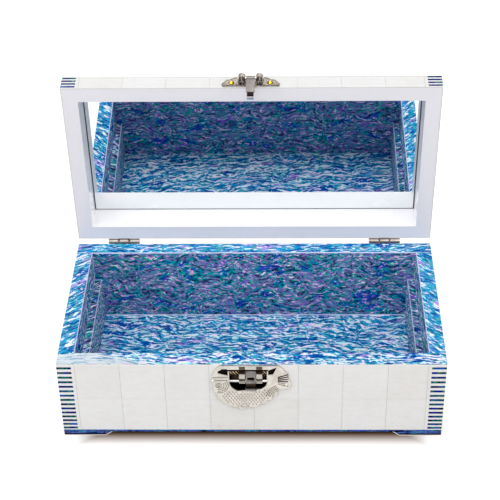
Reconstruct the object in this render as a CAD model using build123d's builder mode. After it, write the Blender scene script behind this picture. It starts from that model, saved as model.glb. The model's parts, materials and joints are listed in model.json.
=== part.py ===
from build123d import *
import os
from math import cos, pi, sin

# A shell-covered jewellery box that stands open. Its lid holds a mirror and a hanging hasp arm,
# and a fish-shaped plate on the front holds the sprung catch that the arm hooks into.
# Millimetres. +X is to the right, the front looks along -Y and +Z is up. The box is drawn round
# its own middle, with the lid closed. As a piece is written, the lid's are turned open, and all
# move to the shared origin, on the table under the middle of the whole open object.

os.makedirs("parts", exist_ok=True)

# Box
WIDTH = 290.0            # outside, left to right
DEPTH = 150.0            # outside, front to back
RIM_Z = 73.0             # height of the rim above the table
WALL = 12.5              # finished wall: facing, board and lining
SHELL = 0.8              # thickness of every sheet of shell
FOOT_HEIGHT = 4.0
BASE_THICK = 2.0
FLOOR_SHEET = 1.0
RIM_CHAMFER = 0.5        # polished inner edge of the rim
LEDGE_WIDTH = 5.8        # the two ledges for a lift-out tray
LEDGE_DROP = 27.5        # from the rim down to the ledges

# Feet: brackets under the corners, with a sloping toe
FOOT_LENGTH = 37.5
FOOT_TOE = 5.6
FOOT_THICK = 8.0

# Shell tiles and the dark stripes at the corners
JOINT = 0.15             # open joint between two tiles
TILE_WIDTH = 33.33
TILE_SHIFT = 1.85        # how far the middle joint lies off the centre line
ROW_DROP = 35.3          # from the rim down to the joint between the two rows
STRIPE_RUN = 11.0        # length of a stripe on each face of the corner
END_TILE = 13.5          # the tile that the stripes are let into
STRIPE_TALL = 2.05
STRIPE_DROP = 4.6        # from the rim to the middle of the first stripe
STRIPE_PITCH = 4.62
STRIPE_CLOSING = 0.0016  # the stripes close up towards the base

# Lid
LID_GAP = 0.3            # shadow gap under the closed lid
LID_EDGE = 15.0          # height of the lid's upright edge
BEVEL_RUN = 14.0
FRAME_WIDTH = 12.5
MIRROR_DEPTH = 22.5      # from the lid's rim to the face of the glass
MIRROR_THICK = 3.0
MIRROR_FIT = 0.2
PANEL_THICK = 2.7        # the lid's top board, behind the mirror
LID_STRIPES = 4
LID_STRIPE_DROP = 2.4    # from the lid's rim to the middle of the first stripe
LID_STRIPE_PITCH = 3.75
LID_OPEN = 85.3          # degrees from closed, as the lid stands

# Butt hinges, let stand on the back faces
HINGE_X = 107.5
HINGE_LENGTH = 25.3
HINGE_OUT = 3.2          # pin axis behind the back face
KNUCKLE_R = 2.4
KNUCKLE_GAP = 0.35
HINGE_PIN_R = 1.0
RUNNING_FIT = 0.05       # radial clearance of everything that turns
LEAF_THICK = 0.9
LEAF_HIGH = 12.5
LEAF_LOW_END = 2.4       # where a leaf's flat starts, from the pin axis
NECK_STEP = 0.4          # the bend between a leaf's flat and its knuckles
NECK_ROOT = 0.6
NECK_TOP = 2.1
NECK_IN = 0.9
NECK_OUT = 2.3
SCREW_SHIFT = 1.5        # from the middle of a leaf's flat to its screws
SCREW_X = 6.5
SCREW_R = 1.2
SCREW_HEAD_R = 2.2
SCREW_LONG = 8.0
SCREW_SUNK = 0.05        # head below the face of the leaf
PILOT_FIT = 0.05

# Clasp on the front: the plate and its sprung catch
CLASP_X = -0.3
PLATE_THICK = 1.2
PLATE_TOP_DROP = 1.0     # from the rim to the plate's top edge
POCKET_SHIFT = -2.2      # middle of the pocket, from the middle of the clasp
POCKET_WIDE = 32.0
POCKET_HIGH = 25.0
POCKET_DROP = 3.5        # from the rim to the pocket's top
POCKET_DEEP = 5.5
PAN_FIT = 0.2
PAN_SHEET = 0.6
ROD_DROP = 17.8          # from the rim to the catch's rod
ROD_IN = 1.2             # behind the front face
ROD_R = 1.1
EAR_X = 6.4
EAR_WIDE = 4.5
EAR_RING_R = 2.3
EAR_SHEET = 0.9
EAR_BULGE = 3.1          # in front of the front face
EAR_ROOT = 1.1           # below the pocket's top
CATCH_WIDE = 7.4
CATCH_SHEET = 1.2
CATCH_BARREL_R = 2.2
CATCH_SKIN = 0.75        # metal in front of the rod
CATCH_NOSE = 10.8        # from the rod up to the catch's nose
NOSE_ROUND = 1.2
SLOT_WIDE = 5.4
SLOT_LOW = 1.8           # the slot's ends, above the rod
SLOT_HIGH = 4.7
LIP_WIDE = 8.6
LIP_ROUND = 2.2
LIP_SHEET = 0.9
LIP_OUT = 5.2            # the lip's edge in front of the rod
LIP_TOP = 3.1            # the lip's ends, below the rod
LIP_END = 7.4
LIP_SIDE_IN = 2.15       # the lip's top in front of the rod
THUMB_ROOM = 8.1         # from the rod down to the window's lower edge
SPRING_WIRE_R = 0.2
SPRING_WIRE_SIDES = 6    # flats round the wire, which stand for a round one
SPRING_R = 1.42
SPRING_PITCH = 0.85
SPRING_TURNS = 3
SPRING_PARTS = 4         # each turn is drawn in quarters
SPRING_BAY = 3.5         # room for the spring between the catch's two knuckles
SPRING_ROOM = 0.13
SPRING_BEND = 1.6        # from the coil to the bend of a leg
SPRING_ROUND = 0.8
SPRING_LEG = 6.0         # from the rod down to the end of the lower leg
PIN_SHANK_R = 0.8
PIN_LONG = 7.0
FISH_PIN_HEAD = (1.1, 0.6)      # radius and height of a domed head
DOME_CROWN = 0.5         # a head's flat crown, as a share of its radius
HASP_PIN_HEAD = (1.8, 1.0)

# Clasp on the lid: the plate, its two hollow ribs and the arm that hangs between them
HASP_PIN_X = 14.7
HASP_PIN_UP = 4.9        # above the lid's rim
HASP_LOW = 1.6           # plate's lower edge, above the lid's rim
RIB_X = 6.75
RIB_WIDE = 5.7
RIB_OUT = 4.7
RIB_WALL = 0.8
RIB_HIGH = 9.5
RIB_LOW = 1.9            # ribs' lower ends, above the lid's rim
AXLE_R = 0.9
AXLE_OUT = 3.8           # in front of the front face
AXLE_UP = 7.2            # above the lid's rim
ARM_WIDE = 6.7
ARM_SHEET = 1.4
ARM_EYE_R = 1.9
HOOK_WIDE = 5.0
HOOK_TAB = 1.1           # thickness of the tab that enters the slot
HOOK_BEND_R = 3.4
HOOK_REACH = 0.25        # how far behind the front face the tab ends
SHOULDER_UP = 0.6        # the hook's sloping shoulders, above its bend
SHOULDER_RUN = 2.2
HEEL_FIT = 0.1           # gap under the heel that stops the arm
HEEL_DROP = 1.6
HEEL_THICK = 1.3
CUT_PAST = 8.0           # cuts that go right through run this far

# What follows from these
FACE_X = WIDTH / 2
FACE_Y = DEPTH / 2
BOARD_X = FACE_X - SHELL
BOARD_Y = FACE_Y - SHELL
INNER_X = FACE_X - WALL
INNER_Y = FACE_Y - WALL
BEHIND_X = INNER_X + SHELL
BEHIND_Y = INNER_Y + SHELL
WALL_LOW = FOOT_HEIGHT + BASE_THICK
WALL_TOP = RIM_Z - SHELL
FLOOR_Z = WALL_LOW + FLOOR_SHEET
LEDGE_Z = RIM_Z - LEDGE_DROP
LID_Z = RIM_Z + LID_GAP
EDGE_Z = LID_Z + LID_EDGE
LID_TOP = LID_Z + MIRROR_DEPTH + MIRROR_THICK + PANEL_THICK + SHELL
BEVEL_RISE = LID_TOP - EDGE_Z
HINGE_Y = FACE_Y + HINGE_OUT
HINGE_Z = RIM_Z + LID_GAP / 2
HINGE_AXIS = Axis((0, HINGE_Y, HINGE_Z), (1, 0, 0))
POCKET_X = CLASP_X + POCKET_SHIFT
POCKET_Z = RIM_Z - POCKET_DROP - POCKET_HIGH / 2
ROD_Y = -FACE_Y + ROD_IN
ROD_Z = RIM_Z - ROD_DROP
AXLE_Y = -FACE_Y - AXLE_OUT
AXLE_Z = LID_Z + AXLE_UP
HOLD_R = SCREW_R + PILOT_FIT
PIN_HOLE_R = PIN_SHANK_R + PILOT_FIT
SLOT_MIDDLE_Z = ROD_Z + (SLOT_LOW + SLOT_HIGH) / 2
OPEN_ANGLE = LID_OPEN * pi / 180
LID_REACH_Y = (HINGE_Y - (HINGE_OUT + BEVEL_RUN) * cos(OPEN_ANGLE)
               + (LID_TOP - HINGE_Z) * sin(OPEN_ANGLE))
ORIGIN_Y = (LID_REACH_Y + ROD_Y - LIP_OUT) / 2

FRONT = Plane.XZ.offset(FACE_Y)      # local x is +X and local y is +Z; extruding goes outwards
BACK = Plane.XZ.offset(-FACE_Y)      # extruding goes inwards
FISH_PINS = ((CLASP_X - 28.6, RIM_Z - 16.0), (CLASP_X + 26.6, RIM_Z - 19.6),
             (CLASP_X - 5.4, RIM_Z - 41.4))
HASP_PINS = ((CLASP_X - HASP_PIN_X, LID_Z + HASP_PIN_UP),
             (CLASP_X + HASP_PIN_X, LID_Z + HASP_PIN_UP))
SCREWS_X = [side * HINGE_X + step * SCREW_X for side in (-1, 1) for step in (-1, 1)]
SCREW_UP = LEAF_LOW_END + LEAF_HIGH / 2 - SCREW_SHIFT
BOX_SCREW_Z = HINGE_Z - SCREW_UP
LID_SCREW_Z = HINGE_Z + SCREW_UP


def save(piece, node):
    """Move a finished piece to the shared origin, label it and write it."""
    piece.part = piece.part.moved(Location((0, -ORIGIN_Y, 0)))
    piece.part.label = node
    export_step(piece.part, f"parts/{node}.step")


def save_open(piece, node):
    """Turn a piece of the lid from closed to open, then write it."""
    piece.part = piece.part.rotate(HINGE_AXIS, -LID_OPEN)
    save(piece, node)


def board(x, y, z, mode=Mode.ADD):
    """Add or cut a board that spans the three pairs x, y and z."""
    with BuildSketch(Plane.XY.offset(z[0])) as outline:
        with Locations(((x[0] + x[1]) / 2, (y[0] + y[1]) / 2)):
            Rectangle(x[1] - x[0], y[1] - y[0])
    extrude(outline.sketch, amount=z[1] - z[0], mode=mode)


def bore(plane, centres, radius, depth):
    """Cut round holes, centred on points of a plane, both ways from it."""
    with BuildSketch(plane) as holes:
        with Locations(*centres):
            Circle(radius)
    extrude(holes.sketch, amount=depth, both=True, mode=Mode.SUBTRACT)


def pocket():
    """Cut the clasp's pocket into the front wall or its facing."""
    with BuildSketch(FRONT) as mouth:
        with Locations((POCKET_X, POCKET_Z)):
            Rectangle(POCKET_WIDE, POCKET_HIGH)
    extrude(mouth.sketch, amount=-POCKET_DEEP, mode=Mode.SUBTRACT)


def tiles(plane, half, low, high, uprights, rows=(), slots=(), run=0.0):
    """The outline of a sheet of tiles: open joints, and slots for the stripes at both ends."""
    with BuildSketch(plane) as sheet:
        with Locations((0, (low + high) / 2)):
            Rectangle(2 * half, high - low)
        for x in uprights:
            with Locations((x, (low + high) / 2)):
                Rectangle(JOINT, high - low, mode=Mode.SUBTRACT)
        for z in rows:
            with Locations((0, z)):
                Rectangle(2 * half, JOINT, mode=Mode.SUBTRACT)
        for z in slots:
            with Locations((run / 2 - half, z), (half - run / 2, z)):
                Rectangle(run, STRIPE_TALL, mode=Mode.SUBTRACT)
    return sheet.sketch


def upright_joints(half):
    """Joints of a long face: full tiles outwards from the middle joint, then the end tiles."""
    last = half - END_TILE
    count = int(last // TILE_WIDTH)
    inner = [TILE_SHIFT + TILE_WIDTH * k for k in range(-count, count + 1)]
    return [-last] + [x for x in inner if abs(x) < last - TILE_WIDTH / 3] + [last]


def even_joints(half, end):
    """Joints of a short face: tiles of one width between the two end tiles."""
    last = half - end
    count = max(1, round(2 * last / TILE_WIDTH))
    return [-last + 2 * last * k / count for k in range(count + 1)]


def stripe_heights():
    """Middles of the corner stripes, from the rim down to just above the base."""
    heights = []
    k = 0
    z = RIM_Z - STRIPE_DROP
    while z > WALL_LOW + STRIPE_TALL / 2 + 0.5:
        heights.append(z)
        k += 1
        z = RIM_Z - STRIPE_DROP - STRIPE_PITCH * k + STRIPE_CLOSING * k**3
    return heights


def corner_stripe(side_x, side_y, heights):
    """Dark strips let in round one upright corner, flush with both faces."""
    for z in heights:
        with BuildSketch(Plane.XY.offset(z - STRIPE_TALL / 2)) as angle:
            with BuildLine():
                Polyline(
                    (side_x * FACE_X, side_y * FACE_Y),
                    (side_x * (FACE_X - STRIPE_RUN), side_y * FACE_Y),
                    (side_x * (FACE_X - STRIPE_RUN), side_y * BOARD_Y),
                    (side_x * BOARD_X, side_y * BOARD_Y),
                    (side_x * BOARD_X, side_y * (FACE_Y - STRIPE_RUN)),
                    (side_x * FACE_X, side_y * (FACE_Y - STRIPE_RUN)),
                    close=True,
                )
            make_face()
        extrude(angle.sketch, amount=STRIPE_TALL)


STRIPES_Z = stripe_heights()
LID_STRIPES_Z = [LID_Z + LID_STRIPE_DROP + LID_STRIPE_PITCH * k for k in range(LID_STRIPES)]
FRONT_JOINTS = upright_joints(FACE_X)
SIDE_JOINTS = even_joints(BOARD_Y, END_TILE - SHELL)
ROW_Z = RIM_Z - ROW_DROP
CORNERS = {
    "front_left": (-1, -1), "front_right": (1, -1), "back_left": (-1, 1), "back_right": (1, 1),
}

# The box's base and feet

with BuildPart() as base_board:
    board((-BOARD_X, BOARD_X), (-BOARD_Y, BOARD_Y), (FOOT_HEIGHT, WALL_LOW))
save(base_board, "base_board")

with BuildPart() as base_band:
    for side in (-1, 1):
        edge = sorted((side * BOARD_Y, side * FACE_Y))
        board((-FACE_X, FACE_X), edge, (FOOT_HEIGHT, WALL_LOW))
        edge = sorted((side * BOARD_X, side * FACE_X))
        board(edge, (-BOARD_Y + JOINT, BOARD_Y - JOINT), (FOOT_HEIGHT, WALL_LOW))
save(base_band, "base_band")

for place, (side_x, side_y) in CORNERS.items():
    with BuildPart() as foot:
        with BuildSketch(Plane.XZ.offset(-side_y * FACE_Y)) as long_side:
            with BuildLine():
                Polyline(
                    (side_x * FACE_X, 0),
                    (side_x * (FACE_X - FOOT_LENGTH + FOOT_TOE), 0),
                    (side_x * (FACE_X - FOOT_LENGTH), FOOT_HEIGHT),
                    (side_x * FACE_X, FOOT_HEIGHT),
                    close=True,
                )
            make_face()
        extrude(amount=side_y * FOOT_THICK)
        with BuildSketch(Plane.YZ.offset(side_x * FACE_X)) as short_side:
            with BuildLine():
                Polyline(
                    (side_y * FACE_Y, 0),
                    (side_y * (FACE_Y - FOOT_LENGTH + FOOT_TOE), 0),
                    (side_y * (FACE_Y - FOOT_LENGTH), FOOT_HEIGHT),
                    (side_y * FACE_Y, FOOT_HEIGHT),
                    close=True,
                )
            make_face()
        extrude(amount=-side_x * FOOT_THICK)
    save(foot, f"foot_{place}")

# The four walls, with the clasp's pocket and the pilot holes

with BuildPart() as front_wall:
    board((-BOARD_X, BOARD_X), (-BOARD_Y, -BEHIND_Y), (WALL_LOW, WALL_TOP))
    pocket()
    bore(FRONT, FISH_PINS, PIN_HOLE_R, PIN_LONG)
save(front_wall, "front_wall")

with BuildPart() as back_wall:
    board((-BOARD_X, BOARD_X), (BEHIND_Y, BOARD_Y), (WALL_LOW, WALL_TOP))
    bore(BACK, [(x, BOX_SCREW_Z) for x in SCREWS_X], HOLD_R, SCREW_LONG)
save(back_wall, "back_wall")

for place, side in (("left", -1), ("right", 1)):
    with BuildPart() as side_wall:
        board(sorted((side * BEHIND_X, side * BOARD_X)), (-BEHIND_Y, BEHIND_Y), (WALL_LOW, WALL_TOP))
    save(side_wall, f"{place}_wall")

# Shell facings in two rows of tiles, and the dark stripes let in round the corners

with BuildPart() as front_facing:
    extrude(tiles(FRONT, FACE_X, WALL_LOW, WALL_TOP, FRONT_JOINTS, [ROW_Z], STRIPES_Z, STRIPE_RUN),
            amount=-SHELL)
    pocket()
    bore(FRONT, FISH_PINS, PIN_HOLE_R, PIN_LONG)
save(front_facing, "front_facing")

with BuildPart() as back_facing:
    extrude(tiles(BACK, FACE_X, WALL_LOW, WALL_TOP, FRONT_JOINTS, [ROW_Z], STRIPES_Z, STRIPE_RUN),
            amount=SHELL)
    bore(BACK, [(x, BOX_SCREW_Z) for x in SCREWS_X], HOLD_R, SCREW_LONG)
save(back_facing, "back_facing")

for place, side in (("left", -1), ("right", 1)):
    with BuildPart() as side_facing:
        extrude(
            tiles(Plane.YZ.offset(side * FACE_X), BOARD_Y, WALL_LOW, WALL_TOP, SIDE_JOINTS,
                  [ROW_Z], STRIPES_Z, STRIPE_RUN - SHELL),
            amount=-side * SHELL)
    save(side_facing, f"{place}_facing")

for place, (side_x, side_y) in CORNERS.items():
    with BuildPart() as stripes:
        corner_stripe(side_x, side_y, STRIPES_Z)
    save(stripes, f"corner_stripes_{place}")

# The rim, the linings, the floor and the two ledges

for place, side in (("front", -1), ("back", 1)):
    with BuildPart() as rim:
        board((-FACE_X, FACE_X), sorted((side * INNER_Y, side * FACE_Y)), (WALL_TOP, RIM_Z))
        inner = rim.edges().filter_by(Axis.X).group_by(Axis.Z)[-1].sort_by(Axis.Y)
        chamfer(inner[0] if side > 0 else inner[-1], RIM_CHAMFER)
    save(rim, f"rim_{place}")

for place, side in (("left", -1), ("right", 1)):
    with BuildPart() as rim:
        board(sorted((side * INNER_X, side * FACE_X)), (-INNER_Y, INNER_Y), (WALL_TOP, RIM_Z))
        inner = rim.edges().filter_by(Axis.Y).group_by(Axis.Z)[-1].sort_by(Axis.X)
        chamfer(inner[0] if side > 0 else inner[-1], RIM_CHAMFER)
    save(rim, f"rim_{place}")

with BuildPart() as floor_lining:
    board((-BEHIND_X, BEHIND_X), (-BEHIND_Y, BEHIND_Y), (WALL_LOW, FLOOR_Z))
save(floor_lining, "floor_lining")

for place, side in (("front", -1), ("back", 1)):
    with BuildPart() as lining:
        board((-BEHIND_X, BEHIND_X), sorted((side * INNER_Y, side * BEHIND_Y)), (FLOOR_Z, WALL_TOP))
    save(lining, f"{place}_lining")

for place, side in (("left", -1), ("right", 1)):
    with BuildPart() as lining:
        board(sorted((side * INNER_X, side * BEHIND_X)), (-INNER_Y, INNER_Y), (FLOOR_Z, WALL_TOP))
    save(lining, f"{place}_lining")

    with BuildPart() as ledge:
        board(sorted((side * (INNER_X - LEDGE_WIDTH), side * INNER_X)), (-INNER_Y, INNER_Y),
              (FLOOR_Z, LEDGE_Z))
    save(ledge, f"{place}_ledge")

# The fish plate: a carp that faces left, its back cut straight under the rim. Its outline is
# given from the middle of the clasp and down from the rim.


def fish(x, drop):
    return (CLASP_X + x, RIM_Z - drop)


with BuildPart() as fish_plate:
    with BuildSketch(FRONT) as carp:
        with BuildLine():
            back = Line(fish(20.9, PLATE_TOP_DROP), fish(-22.3, PLATE_TOP_DROP))
            brow = ThreePointArc(back @ 1, fish(-27.3, 6.5), fish(-29.7, 14.0))
            mouth = Polyline(brow @ 1, fish(-30.4, 16.4), fish(-29.1, 18.2))
            belly = ThreePointArc(mouth @ 1, fish(-23.8, 34.6), fish(-10.0, 44.0))
            fin = Polyline(belly @ 1, fish(-7.3, 45.5), fish(-4.9, 44.0))
            under = ThreePointArc(fin @ 1, fish(-1.9, 42.9), fish(1.1, 43.6))
            rear_fin = ThreePointArc(under @ 1, fish(4.2, 42.0), fish(6.9, 38.8))
            scallop = ThreePointArc(rear_fin @ 1, fish(10.3, 39.4), fish(11.4, 36.4))
            stem = ThreePointArc(scallop @ 1, fish(15.6, 34.4), fish(17.3, 31.0))
            root = ThreePointArc(stem @ 1, fish(20.2, 28.0), fish(18.5, 25.6))
            lobe = ThreePointArc(root @ 1, fish(24.3, 25.4), fish(28.9, 23.6))
            tail = ThreePointArc(lobe @ 1, fish(30.0, 17.6), fish(26.8, 12.6))
            notch = ThreePointArc(tail @ 1, fish(27.2, 10.0), fish(26.5, 7.4))
            Line(notch @ 1, back @ 0)
        make_face()
        with BuildLine():
            bottom = ROD_DROP + THUMB_ROOM
            left = Line(fish(-16.0, 5.4), fish(-16.0, bottom - 9.9))
            low_left = ThreePointArc(left @ 1, fish(-14.2, bottom - 3.5), fish(-9.6, bottom))
            low = Line(low_left @ 1, fish(7.6, bottom - 2.0))
            low_right = ThreePointArc(low @ 1, fish(11.2, bottom - 5.3), fish(12.0, bottom - 10.9))
            right = Line(low_right @ 1, fish(12.0, 5.4))
            Line(right @ 1, left @ 0)
        make_face(mode=Mode.SUBTRACT)
        with Locations(*FISH_PINS):
            Circle(PIN_HOLE_R, mode=Mode.SUBTRACT)
    extrude(amount=PLATE_THICK)
    # the two dark hollows beside the window do not go through
    with BuildSketch(FRONT.offset(PLATE_THICK)) as hollows:
        with BuildLine():
            Polyline(fish(-24.5, 6.6), fish(-21.1, 4.4), fish(-17.0, 4.4), fish(-17.0, 10.6),
                     fish(-24.4, 8.6), close=True)
        make_face()
        with BuildLine():
            Polyline(fish(13.0, 5.6), fish(19.4, 2.8), fish(16.8, 9.6), fish(13.0, 10.1), close=True)
        make_face()
    extrude(amount=-PLATE_THICK * 2 / 3, mode=Mode.SUBTRACT)
    # two curled ears hang from the plate's top band and hold the rod
    for side in (-1, 1):
        with BuildSketch(Plane.YZ.offset(CLASP_X + side * EAR_X - EAR_WIDE / 2)) as ear:
            top = POCKET_Z + POCKET_HIGH / 2 - EAR_ROOT
            front = -FACE_Y - PLATE_THICK
            with BuildLine():
                outer = ThreePointArc((front, top), (-FACE_Y - EAR_BULGE, (top + ROD_Z) / 2),
                                      (ROD_Y - EAR_RING_R, ROD_Z))
                inner = ThreePointArc((ROD_Y - EAR_RING_R + EAR_SHEET, ROD_Z),
                                      (-FACE_Y - EAR_BULGE + EAR_SHEET, (top + ROD_Z) / 2),
                                      (front + EAR_SHEET, top))
                Line(outer @ 1, inner @ 0)
                Line(inner @ 1, outer @ 0)
            make_face()
            with Locations((ROD_Y, ROD_Z)):
                Circle(EAR_RING_R)
                Circle(ROD_R + RUNNING_FIT, mode=Mode.SUBTRACT)
        extrude(amount=EAR_WIDE)
save(fish_plate, "fish_plate")


def pins(places, head):
    """Domed pins that stand in a clasp plate and run into the wood behind it."""
    head_r, head_high = head
    for x, z in places:
        with BuildSketch(Plane.YZ.offset(x)) as section:
            seat = -FACE_Y - PLATE_THICK
            with BuildLine():
                Polyline((seat - head_high, z), (seat - head_high, z + head_r * DOME_CROWN),
                         (seat, z + head_r), (seat, z + PIN_SHANK_R),
                         (seat + PIN_LONG, z + PIN_SHANK_R), (seat + PIN_LONG, z), close=True)
            make_face()
        revolve(section.sketch, Axis((x, 0, z), (0, 1, 0)), 360)


with BuildPart() as fish_plate_pins:
    pins(FISH_PINS, FISH_PIN_HEAD)
save(fish_plate_pins, "fish_plate_pins")

# The catch behind the plate: a pan let into the wall, a rod across it, and the catch on the rod

PAN_X = POCKET_WIDE / 2 - PAN_FIT
with BuildPart() as catch_box:
    with BuildSketch(FRONT) as pan:
        with Locations((POCKET_X, POCKET_Z)):
            Rectangle(2 * PAN_X, POCKET_HIGH - 2 * PAN_FIT)
    extrude(amount=-(POCKET_DEEP - PAN_FIT))
    offset(amount=-PAN_SHEET, openings=catch_box.faces().sort_by(Axis.Y)[0])
    bore(Plane.YZ.offset(POCKET_X), [(ROD_Y, ROD_Z)], ROD_R + PILOT_FIT / 2, POCKET_WIDE)
save(catch_box, "catch_box")

with BuildPart() as catch_rod:
    with BuildSketch(Plane.YZ.offset(POCKET_X - PAN_X)):
        with Locations((ROD_Y, ROD_Z)):
            Circle(ROD_R)
    extrude(amount=2 * PAN_X)
save(catch_rod, "catch_rod")

with BuildPart() as catch_lever:
    # sheet that rolls round the rod, with the nose above it
    with BuildSketch(Plane.YZ.offset(CLASP_X - CATCH_WIDE / 2)) as section:
        nose_front = ROD_Y - ROD_R - RUNNING_FIT - CATCH_SKIN
        with Locations((nose_front + CATCH_SHEET / 2, ROD_Z + CATCH_NOSE / 2)):
            Rectangle(CATCH_SHEET, CATCH_NOSE)
        with Locations((ROD_Y, ROD_Z)):
            Circle(CATCH_BARREL_R)
            Circle(ROD_R + RUNNING_FIT, mode=Mode.SUBTRACT)
    extrude(amount=CATCH_WIDE)
    fillet(catch_lever.edges().filter_by(Axis.Y).group_by(Axis.Z)[-1], NOSE_ROUND)
    # the slot that takes the hook
    with BuildSketch(FRONT) as slot:
        with Locations((CLASP_X, SLOT_MIDDLE_Z)):
            Rectangle(SLOT_WIDE, SLOT_HIGH - SLOT_LOW)
    extrude(amount=CUT_PAST, both=True, mode=Mode.SUBTRACT)
    # the bay for the spring: the barrel is open behind and thinner in front
    bay = (CLASP_X - SPRING_BAY / 2, CLASP_X + SPRING_BAY / 2)
    board(bay, (ROD_Y, ROD_Y + CATCH_BARREL_R), (ROD_Z - CATCH_BARREL_R, ROD_Z + CATCH_BARREL_R),
          mode=Mode.SUBTRACT)
    with BuildSketch(Plane.YZ.offset(bay[0])) as room:
        with Locations((ROD_Y, ROD_Z)):
            Circle(SPRING_R + SPRING_WIRE_R + SPRING_ROOM)
    extrude(amount=SPRING_BAY, mode=Mode.SUBTRACT)
    # the thumb lip curls out under the barrel
    with BuildSketch(Plane.YZ.offset(CLASP_X - LIP_WIDE / 2)) as scoop:
        curl_y = ROD_Y - (LIP_SIDE_IN + LIP_OUT) / 2
        curl_z = ROD_Z - (LIP_TOP + LIP_END) / 2
        with BuildLine():
            outside = ThreePointArc((ROD_Y - LIP_SIDE_IN, ROD_Z - LIP_TOP), (curl_y + 0.45, curl_z),
                                    (ROD_Y - LIP_OUT, ROD_Z - LIP_END))
            inside = ThreePointArc((ROD_Y - LIP_OUT + LIP_SHEET, ROD_Z - LIP_END - LIP_SHEET / 2),
                                   (curl_y + 0.45 + LIP_SHEET, curl_z - LIP_SHEET / 2),
                                   (ROD_Y - LIP_SIDE_IN + LIP_SHEET, ROD_Z - LIP_TOP))
            Line(outside @ 1, inside @ 0)
            Line(inside @ 1, outside @ 0)
        make_face()
    extrude(amount=LIP_WIDE)
    with BuildSketch(FRONT) as corners:
        lip_high = LIP_END + LIP_SHEET / 2 - LIP_TOP
        with Locations((CLASP_X, ROD_Z - LIP_TOP - lip_high / 2)):
            Rectangle(LIP_WIDE + 1, lip_high)
            RectangleRounded(LIP_WIDE, lip_high, LIP_ROUND, mode=Mode.SUBTRACT)
    extrude(amount=CUT_PAST, both=True, mode=Mode.SUBTRACT)
    # the neck between barrel and lip
    with BuildSketch(Plane.YZ.offset(CLASP_X - CATCH_WIDE / 2)) as neck:
        with BuildLine():
            Polyline((ROD_Y - 2.0, ROD_Z - 0.9), (ROD_Y - LIP_SIDE_IN, ROD_Z - LIP_TOP - 2.4),
                     (ROD_Y - LIP_SIDE_IN + LIP_SHEET, ROD_Z - LIP_TOP - 2.4),
                     (ROD_Y - 0.9, ROD_Z - 1.9), close=True)
        make_face()
    extrude(amount=CATCH_WIDE)
save(catch_lever, "catch_lever")

# The torsion spring on the rod, inside the catch's bay. Each part of a turn is a pair of arcs,
# and the legs lie behind the nose and against the back of the pan.


def on_coil(turn):
    """Point and direction on the coil after so many turns; the coil starts behind the rod."""
    angle = -2 * pi * turn
    rise = SPRING_PITCH / (2 * pi * SPRING_R)
    x = CLASP_X + SPRING_PITCH * (turn - SPRING_TURNS / 2)
    point = Vector(x, ROD_Y + SPRING_R * cos(angle), ROD_Z + SPRING_R * sin(angle))
    return point, Vector(rise, sin(angle), -cos(angle)).normalized()


def wind(turns, parts_per_turn):
    """Draw the coil as pairs of arcs that share their tangents."""
    for k in range(turns * parts_per_turn):
        start, along = on_coil(k / parts_per_turn)
        end, onward = on_coil((k + 1) / parts_per_turn)
        across = end - start
        both = along + onward
        a = 2 * (along.dot(onward) - 1)
        b = -2 * across.dot(both)
        c = across.dot(across)
        reach = (-b - (b * b - 4 * a * c) ** 0.5) / (2 * a)
        first = start + along * reach
        second = end - onward * reach
        middle = (first + second) * 0.5
        TangentArc(start, middle, tangent=along)
        TangentArc(middle, end, tangent=second - first)


with BuildPart() as catch_spring:
    start, along = on_coil(0)
    end, onward = on_coil(SPRING_TURNS)
    nose_back = nose_front + CATCH_SHEET + SPRING_WIRE_R
    pan_back = -FACE_Y + POCKET_DEEP - PAN_FIT - PAN_SHEET - SPRING_WIRE_R - RUNNING_FIT
    knee = start - along * SPRING_BEND
    elbow = end + onward * SPRING_BEND
    with BuildLine() as wire:
        FilletPolyline((knee.X, nose_back, ROD_Z + CATCH_NOSE - NOSE_ROUND), knee, start,
                       radius=SPRING_ROUND)
        wind(SPRING_TURNS, SPRING_PARTS)
        FilletPolyline(end, elbow, (elbow.X, pan_back, ROD_Z - SPRING_LEG), radius=SPRING_ROUND)
    with BuildSketch(Plane(origin=wire.wire() @ 0, z_dir=wire.wire() % 0)):
        RegularPolygon(SPRING_WIRE_R, SPRING_WIRE_SIDES)
    sweep(path=wire.wire(), transition=Transition.ROUND)
save(catch_spring, "catch_spring")
print("gap between spring turns", round(SPRING_PITCH - 2 * SPRING_WIRE_R, 2))

# Hinges: rolled leaves on the back faces. The outer two knuckles belong to the lower leaf.

KNUCKLE = (HINGE_LENGTH - 2 * KNUCKLE_GAP) / 3


def leaf(middle_x, knuckles, up):
    """A leaf of sheet with its knuckles; up is 1 for the lid's leaf and -1 for the box's."""
    start = HINGE_Z + up * LEAF_LOW_END
    end = start + up * LEAF_HIGH
    with BuildSketch(BACK) as flat:
        with Locations((middle_x, (start + end) / 2)):
            Rectangle(HINGE_LENGTH, LEAF_HIGH)
    extrude(flat.sketch, amount=-LEAF_THICK)
    for knuckle_x in knuckles:
        low = knuckle_x - KNUCKLE / 2
        with BuildSketch(Plane.YZ.offset(low)) as roll:
            with BuildLine():
                Polyline((FACE_Y, start), (FACE_Y + LEAF_THICK, start + up * NECK_STEP),
                         (HINGE_Y - NECK_IN, HINGE_Z + up * NECK_TOP),
                         (HINGE_Y - NECK_OUT, HINGE_Z + up * NECK_STEP),
                         (FACE_Y, start - up * NECK_ROOT), close=True)
            make_face()
            with Locations((HINGE_Y, HINGE_Z)):
                Circle(KNUCKLE_R)
                Circle(HINGE_PIN_R + RUNNING_FIT, mode=Mode.SUBTRACT)
        extrude(roll.sketch, amount=KNUCKLE)
    screw_z = BOX_SCREW_Z if up < 0 else LID_SCREW_Z
    places = [Location((middle_x + step * SCREW_X, FACE_Y + LEAF_THICK, screw_z), (-90, 0, 0))
              for step in (-1, 1)]
    with Locations(*places):
        CounterSinkHole(HOLD_R, SCREW_HEAD_R)


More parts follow.
